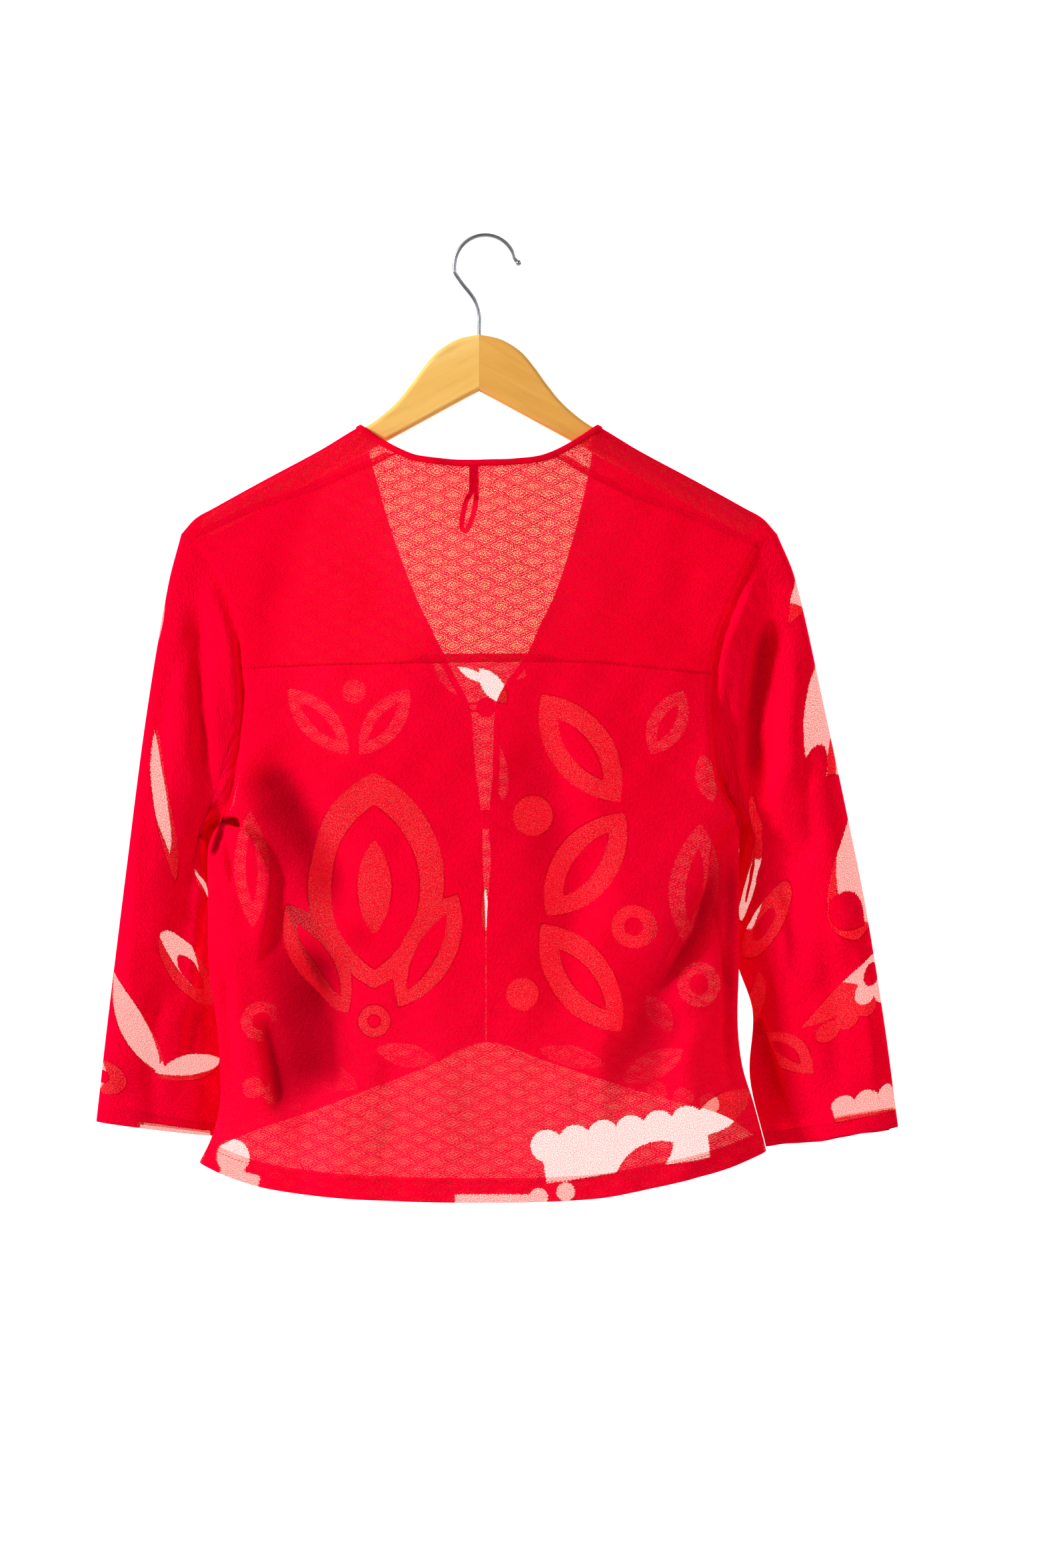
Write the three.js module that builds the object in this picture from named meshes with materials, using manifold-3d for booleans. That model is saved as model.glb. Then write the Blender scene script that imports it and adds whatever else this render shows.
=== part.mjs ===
// A short cardigan with a V neck and three-quarter sleeves, hung on a wooden hanger.
//
// Frame: millimetres, +Z up, origin inside the crown of the hook, where a rail carries it.
// The wearer would face +Y, so the back of the garment faces -Y and the wearer's right is +X.
// "left" and "right" are the wearer's, so left is -X.
//
// Body cloth lies on one surface, y = -depth behind and y = +depth in front, where the depth is
// a function of x and z. Every panel, binding and button takes its place from that surface.

import * as THREE from 'three';
import { mergeVertices } from 'three/addons/utils/BufferGeometryUtils.js';
import Module from 'manifold-3d';

// ---------------------------------------------------------------- driving dimensions

const CENTRE_X = -4.5;          // middle of the hanger and of the back
const CLOTH = 1.5;              // wall of a single layer of cloth
const HEM_CLOTH = 2.4;          // wall where the hem is turned up
const HEM_TURN = 16;            // height of the turned-up hems
const SEAM_GAP = 0.3;           // between pieces that are sewn together
const BINDING_WIDTH = 5;
const BINDING_THICK = 2.4;
const RIDGE_RADIUS = 9;         // the cloth's bend over the hanger
const TENT = 0.22;              // how fast front and back part below the shoulder

const BUTTON = { diameter: 15, thick: 3.4, rim: 1.4, dish: 0.7, shank: 3.6, sides: 32 };
const LOOP_CORD = 1.6;          // cord of the button loops
const BUTTONS = [
  { name: 'upper', x: 0.2, z: -352, loopStart: -12 },
  { name: 'lower', x: 0, z: -437.5, loopStart: -6.5 },
];

const TAPE = { width: 4.3, thick: 1.2, topZ: -169, fromBack: 3.1 };

const WOOD = { thick: 12, round: 3.2, under: 2.3, roundFrom: 204, endReach: 9, notchZ: -115.5, slope: 0.545 };
const WIRE = { diameter: 2.8, radius: 23, ball: 4.2, bore: 26, sides: 10, steps: 72 };

// Shoulder line: the top of the cloth over the hanger, by distance from the middle.
// Inside the neck, where there is no cloth, it only steers the depth of the neckline.
const SHOULDER_LINE = [
  { out: 0, z: -110 }, { out: 40, z: -119 }, { out: 88, z: -141.5 }, { out: 120, z: -160.5 },
  { out: 162, z: -183 }, { out: 200, z: -204 }, { out: 213, z: -211.5 }, { out: 223.5, z: -223 },
  { out: 240, z: -240 },
];
const NECK_OUT = 88;            // neck corner, where binding meets shoulder line
const TIP_OUT = 223.5;          // shoulder tip

// Edge of the body panels, by height: the armhole seam down to the underarm, then the side seam.
const UNDERARM_Z = -438.5;
const PANEL_EDGE = [
  { z: -223, left: 223.5, right: 223.5 }, { z: -232, left: 212, right: 211 },
  { z: -252, left: 199, right: 200 }, { z: -275, left: 188, right: 190 },
  { z: -300, left: 180.5, right: 180.5 }, { z: -323, left: 178, right: 176 },
  { z: -346, left: 176.5, right: 174.5 }, { z: -368, left: 178, right: 174.5 },
  { z: -392, left: 181.5, right: 177 }, { z: -416, left: 185.5, right: 182 },
  { z: -430, left: 189, right: 188 }, { z: -438.5, left: 193.5, right: 195 },
];
const SIDE_SEAM = [
  { z: -438.5, left: 193.5, right: 195 }, { z: -448, left: 200, right: 195.5 },
  { z: -460, left: 203.5, right: 195 }, { z: -500, left: 203.5, right: 195 },
  { z: -545, left: 203, right: 195 }, { z: -590, left: 197, right: 194 },
  { z: -622, left: 194.5, right: 197.5 }, { z: -650, left: 194.5, right: 206 },
  { z: -676, left: 201, right: 213 }, { z: -700, left: 213, right: 219 },
];
// Half width of the body's tube above the underarm, where the armholes are cut out of it.
const TUBE_ABOVE = [
  { z: -438.5, left: 193.5, right: 195 }, { z: -430, left: 197, right: 198 },
  { z: -400, left: 202, right: 202 }, { z: -345, left: 206, right: 205 },
  { z: -300, left: 214, right: 214 }, { z: -224, left: 240, right: 240 },
  { z: -100, left: 272, right: 272 },
];
// Half depth of the tube on the middle line.
const DEPTH = [
  { z: -60, back: 44, front: 46 }, { z: -200, back: 44, front: 47 }, { z: -320, back: 43, front: 48 },
  { z: -440, back: 40, front: 44 }, { z: -560, back: 41, front: 43 }, { z: -640, back: 44, front: 45 },
  { z: -730, back: 47, front: 47 },
];

// Neckline across the back, top of the binding.
const BACK_NECK = [
  { out: 0, z: -168.6 }, { out: 20, z: -168.1 }, { out: 45, z: -165.2 }, { out: 60, z: -159.4 },
  { out: 75, z: -150.7 }, { out: 88, z: -141.5 },
];
// Seam where the fronts, carried over the shoulder, meet the back yoke: drop below the shoulder line.
const SHOULDER_SEAM = [
  { out: 60, left: 36, right: 40 }, { out: 80, left: 36, right: 43 }, { out: 110, left: 32, right: 40.5 },
  { out: 145, left: 25.5, right: 34 }, { out: 176, left: 20, right: 30 }, { out: 212, left: 17, right: 26 },
];
// Seam between the yoke and the lower back.
const YOKE_SEAM = [
  { x: -190, z: -325.5 }, { x: -136, z: -323 }, { x: -91, z: -321.8 }, { x: 0, z: -320.3 },
  { x: 80, z: -320.8 }, { x: 122, z: -324.6 }, { x: 180, z: -330.5 },
];
const BACK_HEM = [
  { x: -220, z: -692 }, { x: -180, z: -706.5 }, { x: -144, z: -713.5 }, { x: -91, z: -718 },
  { x: 0, z: -720 }, { x: 80, z: -717.5 }, { x: 122, z: -710.5 }, { x: 176, z: -698 }, { x: 216, z: -684 },
];
const FRONT_HEM = [
  { x: -220, z: -692 }, { x: -180, z: -674 }, { x: -140, z: -661.5 }, { x: -91, z: -643.5 },
  { x: -46, z: -626 }, { x: 0, z: -607 }, { x: 46, z: -621.5 }, { x: 91, z: -636 },
  { x: 140, z: -650 }, { x: 183, z: -662 }, { x: 216, z: -684 },
];
// Front edges: down the V from the neck corners, then edge to edge to the hem.
const FRONT_EDGE = [
  { z: -141.5, left: -92.5, right: 83.5 }, { z: -180, left: -82.5, right: 77 },
  { z: -229, left: -68, right: 65 }, { z: -267, left: -53.5, right: 52.5 },
  { z: -290, left: -43, right: 41.5 }, { z: -313, left: -31.5, right: 31 },
  { z: -330, left: -23, right: 18.5 }, { z: -345, left: -15, right: 9.5 },
  { z: -356, left: -11, right: 6.8 }, { z: -384, left: -9, right: 5.8 },
  { z: -405, left: -7.2, right: 5.2 }, { z: -425, left: -4.5, right: 3.3 },
  { z: -445, left: -2.5, right: 2.2 }, { z: -466, left: -2.4, right: 4 },
  { z: -500, left: -0.8, right: 1.6 }, { z: -520, left: -0.2, right: 0.6 }, { z: -650, left: -0.2, right: 0.6 },
];

// The largest folds of the body: soft troughs (negative) and ridges (positive) along a line.
const BODY_FOLDS = [
  { side: 'back', x1: -168, z1: -372, x2: -140, z2: -690, width: 19, height: -9 },
  { side: 'back', x1: -196, z1: -470, x2: -186, z2: -640, width: 12, height: 6 },
  { side: 'back', x1: -118, z1: -560, x2: -104, z2: -715, width: 18, height: 5 },
  { side: 'back', x1: 186, z1: -448, x2: 88, z2: -640, width: 20, height: -8.5 },
  { side: 'back', x1: 140, z1: -440, x2: 62, z2: -560, width: 24, height: 5 },
  { side: 'back', x1: 152, z1: -560, x2: 150, z2: -700, width: 16, height: 6 },
  { side: 'front', x1: 150, z1: -400, x2: 120, z2: -640, width: 19, height: -8 },
  { side: 'front', x1: -175, z1: -440, x2: -95, z2: -620, width: 18, height: -8 },
  { side: 'front', x1: -70, z1: -300, x2: -110, z2: -600, width: 20, height: 5 },
];

// Sleeves: outer and inner edge of the flattened tube, by the share of the way down.
// The inner edges pass in front of the side seams, so the body's edge covers them from behind.
const SLEEVES = {
  left: {
    outer: [
      { s: 0, x: -228, y: 0, z: -223 }, { s: 0.09, x: -238, y: 0, z: -262 }, { s: 0.3, x: -254.5, y: 1, z: -360 },
      { s: 0.55, x: -270, y: 3, z: -478 }, { s: 0.8, x: -284, y: 5, z: -590 }, { s: 1, x: -292.5, y: 6, z: -664 },
    ],
    inner: [
      { s: 0, x: -198, y: 0, z: -438.5 }, { s: 0.09, x: -205, y: 13, z: -462 }, { s: 0.3, x: -202, y: 24, z: -508 },
      { s: 0.55, x: -196, y: 29, z: -568 }, { s: 0.8, x: -193, y: 31, z: -630 }, { s: 1, x: -194, y: 31, z: -678 },
    ],
  },
  right: {
    outer: [
      { s: 0, x: 219, y: 0, z: -223 }, { s: 0.09, x: 233, y: 0, z: -258 }, { s: 0.3, x: 256, y: 1, z: -360 },
      { s: 0.55, x: 282, y: 3, z: -478 }, { s: 0.8, x: 300, y: 5, z: -590 }, { s: 1, x: 310.5, y: 6, z: -668 },
    ],
    inner: [
      { s: 0, x: 192.5, y: 0, z: -438.5 }, { s: 0.09, x: 197.5, y: 14, z: -462 }, { s: 0.3, x: 188, y: 22, z: -510 },
      { s: 0.45, x: 190, y: 23, z: -544 }, { s: 0.6, x: 202, y: 23, z: -582 }, { s: 0.8, x: 200, y: 24, z: -632 },
      { s: 1, x: 212, y: 25, z: -684 },
    ],
  },
};
const SLEEVE_DEPTH = [
  { s: 0, half: 23 }, { s: 0.2, half: 26 }, { s: 0.45, half: 22 }, { s: 0.75, half: 17 }, { s: 1, half: 15 },
];
const FLAT_BEHIND = 0.75;       // how much the body's edge flattens the sleeve behind it
// Share of the sleeve over which the armhole's shape fades out, at the top and at the underarm.
const CAP_FADE = { top: 0.4, underarm: 0.075 };
const UNDERARM_CLEAR = 4;       // sleeve cloth bunches this far off the side seam
// Largest folds of the sleeves, by angle round the tube in turns (0.25 behind, 0.75 in front).
const SLEEVE_FOLDS = {
  left: [
    { turn: 0.3, s1: 0.02, s2: 0.5, width: 0.05, height: -4 },
    { turn: 0.17, s1: 0.1, s2: 0.7, width: 0.05, height: 3 },
    { turn: 0.7, s1: 0.05, s2: 0.6, width: 0.06, height: -4 },
  ],
  right: [
    { turn: 0.27, s1: 0.02, s2: 0.55, width: 0.045, height: -7 },
    { turn: 0.15, s1: 0.1, s2: 0.6, width: 0.05, height: 3 },
    { turn: 0.34, s1: 0.45, s2: 1, width: 0.05, height: -4 },
    { turn: 0.74, s1: 0.05, s2: 0.6, width: 0.06, height: -4 },
  ],
};

// Upper outline of the hanger above the cloth, by distance from the middle.
const WOOD_TOP = [
  { out: 0, z: -73.5 }, { out: 16, z: -77 }, { out: 31, z: -86 }, { out: 42, z: -98.5 },
  { out: 51, z: -111 }, { out: 62, z: -124.5 }, { out: 75, z: -136 }, { out: 88, z: -144.6 },
];

// Panel grids: columns across, and rows above and below the underarm.
const GRID = {
  yokeNeck: 7, yokeRows: 5,
  back: 24, backAbove: 4, backBelow: 9,
  front: 12, frontAbove: 8, frontBelow: 7,
};
// Rows of the strip over the shoulder, as shares of the drop from the shoulder line to the seam.
const WRAP_DROPS = [1, 0.45, 0.19, 0.07, 0.016];
// Rows just in front of the shoulder line, as shares of the way down.
const BEND_SHARES = [0, 0.0025, 0.0085, 0.022, 0.05];
const SLEEVE_STEPS = [0, 0.03, 0.075, 0.13, 0.2, 0.29, 0.39, 0.5, 0.62, 0.74, 0.86];
const LOWER_BACK_UNDER = 0.3;   // share of the lower back that is above the underarm
const FRONT_UNDER = 0.46;       // share of the front that is above the underarm

const COLOURS = { cloth: 0xd8102c, binding: 0xc40c28, tape: 0xb80a26, wood: 0xdca85a, steel: 0xb9bbbf, button: 0xc8102a };

// ---------------------------------------------------------------- small tools

const lerp = (a, b, t) => a + (b - a) * t;
const clamp = (v, lo, hi) => Math.min(hi, Math.max(lo, v));
const smooth = (t) => { const c = clamp(t, 0, 1); return c * c * (3 - 2 * c); };

/** Smooth curve through a short table: one column as a function of another. */
function curve(rows, key, value) {
  const up = rows[0][key] < rows[rows.length - 1][key];
  const list = up ? rows : [...rows].reverse();
  const slopes = list.map((row, i) => {
    const a = list[Math.max(i - 1, 0)];
    const b = list[Math.min(i + 1, list.length - 1)];
    return (b[value] - a[value]) / (b[key] - a[key]);
  });
  return (at) => {
    let i = 0;
    while (i < list.length - 2 && at > list[i + 1][key]) i += 1;
    const a = list[i];
    const b = list[i + 1];
    const span = b[key] - a[key];
    const t = clamp((at - a[key]) / span, 0, 1);
    const t2 = t * t;
    const t3 = t2 * t;
    return (2 * t3 - 3 * t2 + 1) * a[value] + (t3 - 2 * t2 + t) * span * slopes[i]
      + (3 * t2 - 2 * t3) * b[value] + (t3 - t2) * span * slopes[i + 1];
  };
}

const SIDES = ['left', 'right'];
const bySide = (rows, key) => Object.fromEntries(SIDES.map((side) => [side, curve(rows, key, side)]));

const shoulderLine = curve(SHOULDER_LINE, 'out', 'z');
const armhole = bySide(PANEL_EDGE, 'z');
const sideSeam = bySide(SIDE_SEAM, 'z');
const tubeAbove = bySide(TUBE_ABOVE, 'z');
const shoulderSeam = bySide(SHOULDER_SEAM, 'out');
const frontEdge = bySide(FRONT_EDGE, 'z');
const backNeck = curve(BACK_NECK, 'out', 'z');
const yokeSeam = curve(YOKE_SEAM, 'x', 'z');
const backHem = curve(BACK_HEM, 'x', 'z');
const frontHem = curve(FRONT_HEM, 'x', 'z');
const tubeDepth = { back: curve(DEPTH, 'z', 'back'), front: curve(DEPTH, 'z', 'front') };

const signOf = (side) => (side === 'left' ? -1 : 1);
const ridgeZ = (x) => shoulderLine(Math.abs(x - CENTRE_X));

/** x of a body panel's edge at a height, pulled in by half a seam gap at the armhole. */
function panelEdge(side, z) {
  const out = z > UNDERARM_Z ? armhole[side](z) - SEAM_GAP : sideSeam[side](z);
  return CENTRE_X + signOf(side) * out;
}

// ---------------------------------------------------------------- the body's surface

/** Height of the body's folds at a place. */
function foldHeight(face, x, z) {
  let sum = 0;
  for (const fold of BODY_FOLDS) {
    if (fold.side !== face) continue;
    const dx = fold.x2 - fold.x1;
    const dz = fold.z2 - fold.z1;
    const length = Math.hypot(dx, dz);
    const along = ((x - fold.x1) * dx + (z - fold.z1) * dz) / (length * length);
    const across = ((x - fold.x1) * dz - (z - fold.z1) * dx) / length;
    const fade = smooth(along / 0.3) * smooth((1.15 - along) / 0.3);
    sum += fold.height * fade * Math.exp(-((across / fold.width) ** 2));
  }
  return sum;
}

/** Square of the depth over the hanger: a round bend, then an even tent. */
function tentSquared(drop) {
  const flat = RIDGE_RADIUS / Math.hypot(1, TENT);
  const bendEnd = RIDGE_RADIUS - TENT * flat;
  if (drop <= 0) return 0;
  if (drop < bendEnd) return 2 * RIDGE_RADIUS * drop - drop * drop;
  return (flat + TENT * (drop - bendEnd)) ** 2;
}

/** Square of the body's depth at a place, on one face. */
function depthSquared(face, x, z) {
  const side = x < CENTRE_X ? 'left' : 'right';
  const half = z > UNDERARM_Z ? tubeAbove[side](z) : sideSeam[side](z);
  const q2 = ((x - CENTRE_X) / half) ** 2;
  const tube = tubeDepth[face](z) ** 2 * Math.max(1 - q2, 0) * (1 + 0.15 * q2) ** 2;
  const tent = tentSquared(ridgeZ(x) - z);
  if (tube <= 0 || tent <= 0) return 0;
  const plain = 1 / Math.sqrt(1 / (tube * tube) + 1 / (tent * tent));
  const depth = Math.sqrt(plain);
  return plain * (1 + foldHeight(face, x, z) / (depth + 8)) ** 2;
}

/** A place on the body and its outward normal. */
function bodyPoint(face, x, z, proud = 0) {
  const h = 0.05;
  const sign = face === 'back' ? -1 : 1;
  const depth = Math.max(Math.sqrt(depthSquared(face, x, z)), SEAM_GAP / 2);
  const normal = new THREE.Vector3(
    (depthSquared(face, x - h, z) - depthSquared(face, x + h, z)) / (2 * h),
    2 * depth * sign,
    (depthSquared(face, x, z - h) - depthSquared(face, x, z + h)) / (2 * h),
  ).normalize();
  const point = new THREE.Vector3(x, sign * depth, z).addScaledVector(normal, proud);
  return { point, normal };
}

// ---------------------------------------------------------------- solids

function geometryOf(positions, triangles) {
  const geometry = new THREE.BufferGeometry();
  geometry.setAttribute('position', new THREE.Float32BufferAttribute(positions, 3));
  geometry.setIndex(triangles);
  return geometry;
}

/** Signed volume, to turn a mesh's faces outward. */
function volumeOf(geometry) {
  const p = geometry.attributes.position;
  const index = geometry.index;
  const corner = [new THREE.Vector3(), new THREE.Vector3(), new THREE.Vector3()];
  let sum = 0;
  for (let i = 0; i < index.count; i += 3) {
    corner.forEach((c, k) => c.fromBufferAttribute(p, index.getX(i + k)));
    sum += corner[0].dot(corner[1].clone().cross(corner[2])) / 6;
  }
  return sum;
}

function facingOut(geometry) {
  if (volumeOf(geometry) < 0) {
    const order = Array.from(geometry.index.array);
    for (let i = 0; i < order.length; i += 3) [order[i], order[i + 1]] = [order[i + 1], order[i]];
    geometry.setIndex(order);
  }
  return geometry;
}

/**
 * A cloth wall from a grid of { point, normal, thick }: rows of equal length.
 * Its outer face is half a cloth outside the grid and its inner face is `thick` further in.
 * A closed grid joins its last column to its first.
 */
function wall(grid, closed = false) {
  const rows = grid.length;
  const columns = grid[0].length;
  const positions = [];
  for (const inner of [false, true]) {
    for (const row of grid) {
      for (const { point, normal, thick = CLOTH } of row) {
        const offset = inner ? CLOTH / 2 - thick : CLOTH / 2;
        positions.push(...point.clone().addScaledVector(normal, offset).toArray());
      }
    }
  }
  const triangles = [];
  const at = (r, c, inner) => (inner ? rows * columns : 0) + r * columns + (c % columns);
  const quad = (a, b, c, d) => triangles.push(a, b, c, a, c, d);
  const spans = closed ? columns : columns - 1;
  for (let r = 0; r < rows - 1; r += 1) {
    for (let c = 0; c < spans; c += 1) {
      quad(at(r, c), at(r, c + 1), at(r + 1, c + 1), at(r + 1, c));
      quad(at(r, c, 1), at(r + 1, c, 1), at(r + 1, c + 1, 1), at(r, c + 1, 1));
    }
  }
  for (let c = 0; c < spans; c += 1) {
    quad(at(0, c), at(0, c, 1), at(0, c + 1, 1), at(0, c + 1));
    quad(at(rows - 1, c), at(rows - 1, c + 1), at(rows - 1, c + 1, 1), at(rows - 1, c, 1));
  }
  if (!closed) {
    for (let r = 0; r < rows - 1; r += 1) {
      quad(at(r, 0), at(r + 1, 0), at(r + 1, 0, 1), at(r, 0, 1));
      quad(at(r, columns - 1), at(r, columns - 1, 1), at(r + 1, columns - 1, 1), at(r + 1, columns - 1));
    }
  }
  return facingOut(geometryOf(positions, triangles));
}

/** Rows of a panel, as shares of its length: above the underarm, below it, then the turned-up hem. */
function rowShares(above, below, under, length) {
  const hemStart = 1 - HEM_TURN / length;
  const last = hemStart - 1 / length;
  const upper = steps(above).map((t) => t * under);
  const lower = steps(below).slice(1).map((t) => lerp(under, last, t));
  return [...upper, ...lower, hemStart, 1];
}

/** Height on a panel's edge for a share of its length, so that one row meets the underarm. */
function edgeHeight(top, foot, under, v) {
  if (v < under) return lerp(top, UNDERARM_Z, v / under);
  return lerp(UNDERARM_Z, foot, (v - under) / (1 - under));
}

/** Height at which a line across the body meets a panel's edge. */
function meet(side, line, start) {
  let z = start;
  for (let i = 0; i < 40; i += 1) z = lerp(z, line(panelEdge(side, z)), 0.5);
  return z;
}

const hemThick = (share, shares) => (share >= shares[shares.length - 2] ? HEM_CLOTH : CLOTH);

const steps = (count) => Array.from({ length: count + 1 }, (_, i) => i / count);
const crowdedEnds = (u) => (1 - Math.cos(Math.PI * u)) / 2;
const crowdedEnd = (u) => Math.sin((Math.PI / 2) * u);

// ---------------------------------------------------------------- neckline and shoulder seams

/** Place on the back neckline, from the middle (0) to the neck corner (1), moved in from the edge. */
function neckPlace(side, k, inset) {
  const out = NECK_OUT * Math.sin((Math.PI / 2) * k);
  const slope = (backNeck(out + 0.1) - backNeck(out - 0.1)) / 0.2;
  const across = new THREE.Vector2(slope, -1).normalize();
  const alongRidge = new THREE.Vector2(1, -0.56).normalize();
  const way = across.lerp(alongRidge, smooth((k - 0.72) / 0.28)).normalize();
  return { out: out + inset * way.x, z: backNeck(out) + inset * way.y };
}

/** Share of the neckline at which a test turns from false to true. */
function findShare(test) {
  let low = 0.3;
  let high = 1;
  for (let i = 0; i < 40; i += 1) {
    const middle = (low + high) / 2;
    if (test(middle)) high = middle;
    else low = middle;
  }
  return high;
}

const INSET = BINDING_WIDTH + SEAM_GAP;
const seamZ = (side, out) => shoulderLine(out) - shoulderSeam[side](out);

/** Where the shoulder seam meets the neck binding and the armhole. */
const seamEnds = Object.fromEntries(SIDES.map((side) => {
  const share = findShare((k) => {
    const { out, z } = neckPlace(side, k, INSET);
    return z > seamZ(side, out);
  });
  const line = (x) => seamZ(side, Math.abs(x - CENTRE_X));
  const armholeZ = meet(side, line, -230);
  return [side, {
    share,
    neckOut: neckPlace(side, share, INSET).out,
    armholeOut: Math.abs(panelEdge(side, armholeZ) - CENTRE_X),
    armholeZ,
  }];
}));

/** Columns of the shoulder seam, from the neck binding to the armhole. */
const seamOuts = (side) => steps(GRID.front).map((u) => lerp(
  seamEnds[side].neckOut, seamEnds[side].armholeOut, crowdedEnd(u),
));

// ---------------------------------------------------------------- back

/** Shares of the neckline that are columns of the yoke, from the middle to the shoulder seam. */
const yokeNeckShares = (side) => steps(GRID.yokeNeck).map((t) => t * seamEnds[side].share);

/** Top edge of half the yoke: under the neck binding, then along the shoulder seam. */
function yokeTop(side) {
  const neck = yokeNeckShares(side).slice(0, -1).map((k) => neckPlace(side, k, INSET));
  const seam = seamOuts(side).map((out) => ({ out, z: seamZ(side, out) - SEAM_GAP / 2 }));
  return [...neck, ...seam].map(({ out, z }) => ({ x: CENTRE_X + signOf(side) * out, z }));
}

function backYoke() {
  const foot = Object.fromEntries(SIDES.map((side) => [side, meet(side, yokeSeam, -325) + SEAM_GAP / 2]));
  const top = [...yokeTop('left').reverse(), ...yokeTop('right').slice(1)];
  const first = top[0].x;
  const last = top[top.length - 1].x;
  const grid = steps(GRID.yokeRows).map((v) => {
    const xl = panelEdge('left', lerp(seamEnds.left.armholeZ, foot.left, v));
    const xr = panelEdge('right', lerp(seamEnds.right.armholeZ, foot.right, v));
    return top.map((place) => {
      const x = lerp(xl, xr, (place.x - first) / (last - first));
      return bodyPoint('back', x, lerp(place.z, yokeSeam(x) + SEAM_GAP / 2, v));
    });
  });
  return wall(grid);
}

function lowerBack() {
  const ends = Object.fromEntries(SIDES.map((side) => [side, {
    top: meet(side, yokeSeam, -325) - SEAM_GAP / 2,
    foot: meet(side, backHem, -690),
  }]));
  const shares = rowShares(GRID.backAbove, GRID.backBelow, LOWER_BACK_UNDER, 370);
  const heights = (v) => SIDES.map((side) => edgeHeight(ends[side].top, ends[side].foot, LOWER_BACK_UNDER, v));
  const across = (v, share) => {
    const [zl, zr] = heights(v);
    return { x: lerp(panelEdge('left', zl), panelEdge('right', zr), share), z: lerp(zl, zr, share) };
  };
  const grid = shares.map((v) => steps(GRID.back).map((u) => {
    const share = crowdedEnds(u);
    const top = across(0, share);
    const foot = across(1, share);
    const { x, z } = across(v, share);
    const bow = (yokeSeam(top.x) - SEAM_GAP / 2 - top.z) * (1 - v) ** 2 + (backHem(foot.x) - foot.z) * v ** 2;
    return { ...bodyPoint('back', x, z + bow), thick: hemThick(v, shares) };
  }));
  return wall(grid);
}

// ---------------------------------------------------------------- fronts

const FRONT_TOP = { neck: shoulderLine(NECK_OUT), tip: shoulderLine(TIP_OUT) };
const frontSideFoot = Object.fromEntries(SIDES.map((side) => [side, meet(side, frontHem, -688)]));
const frontShares = rowShares(GRID.frontAbove, GRID.frontBelow, FRONT_UNDER, 440)
  .filter((v) => v > BEND_SHARES[BEND_SHARES.length - 1]);
const FRONT_ROWS = [...BEND_SHARES, ...frontShares];

/** Place inside the front panel's outline, for a share across and down. */
function frontPlace(side, u, v, inset) {
  const row = (share) => {
    const zEdge = lerp(FRONT_TOP.neck, frontHem(0), share);
    const zSide = edgeHeight(FRONT_TOP.tip, frontSideFoot[side], FRONT_UNDER, share);
    const lean = lerp(0.87, 1, smooth(share / 0.06));
    const xEdge = frontEdge[side](zEdge) + signOf(side) * inset * lean;
    return { x: lerp(xEdge, panelEdge(side, zSide), u), z: lerp(zEdge, zSide, u) };
  };
  const top = row(0);
  const foot = row(1);
  const { x, z } = row(v);
  return { x, z: z + (ridgeZ(top.x) - top.z) * (1 - v) ** 6 + (frontHem(foot.x) - foot.z) * v ** 4 };
}

/** Share of the neckline where its inner edge is a share of the seam's drop below the shoulder line. */
function neckShare(side, share) {
  const { share: start, neckOut } = seamEnds[side];
  const seamDrop = shoulderSeam[side](neckOut) - SEAM_GAP / 2;
  return findShare((at) => {
    const { out, z } = neckPlace(side, at, INSET);
    return at > start && shoulderLine(out) - z < seamDrop * share;
  });
}

/** Rows of the strip over the shoulder, from the seam on the back up towards the ridge. */
function wrapRow(side, share) {
  const { neckOut, armholeZ } = seamEnds[side];
  const topOut = Math.abs(frontPlace(side, 0, 0, INSET).x - CENTRE_X);
  const neck = neckPlace(side, neckShare(side, share), INSET);
  const climb = (neck.out - neckOut) / (topOut - neckOut);
  const edgeZ = lerp(FRONT_TOP.tip, armholeZ + SEAM_GAP / 2, share);
  const edgeOut = Math.abs(panelEdge(side, edgeZ) - CENTRE_X);
  const plain = seamOuts(side).map((foot, i) => {
    const out = i === 0 ? neck.out : lerp(foot, lerp(topOut, TIP_OUT, crowdedEnd(i / GRID.front)), climb);
    return { out, z: shoulderLine(out) - (shoulderSeam[side](foot) - SEAM_GAP / 2) * share };
  });
  const end = plain[plain.length - 1];
  return plain.map(({ out, z }, i) => {
    const blend = crowdedEnd(i / GRID.front) ** 8;
    return { x: CENTRE_X + signOf(side) * (out + (edgeOut - end.out) * blend), z: z + (edgeZ - end.z) * blend };
  });
}

function front(side) {
  const across = steps(GRID.front).map(crowdedEnd);
  const behind = WRAP_DROPS.map((share) => wrapRow(side, share).map(({ x, z }) => bodyPoint('back', x, z)));
  const before = FRONT_ROWS.map((v) => across.map((u) => {
    const { x, z } = frontPlace(side, u, v, INSET);
    return { ...bodyPoint('front', x, z), thick: hemThick(v, FRONT_ROWS) };
  }));
  return wall([...behind, ...before]);
}

// ---------------------------------------------------------------- sleeves

const point3 = (rows) => {
  const axes = ['x', 'y', 'z'].map((axis) => curve(rows, 's', axis));
  return (s) => new THREE.Vector3(...axes.map((f) => f(s)));
};
const sleeveHalf = curve(SLEEVE_DEPTH, 's', 'half');

const turnShare = (turn) => (1 - Math.cos(2 * Math.PI * turn)) / 2;

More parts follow.
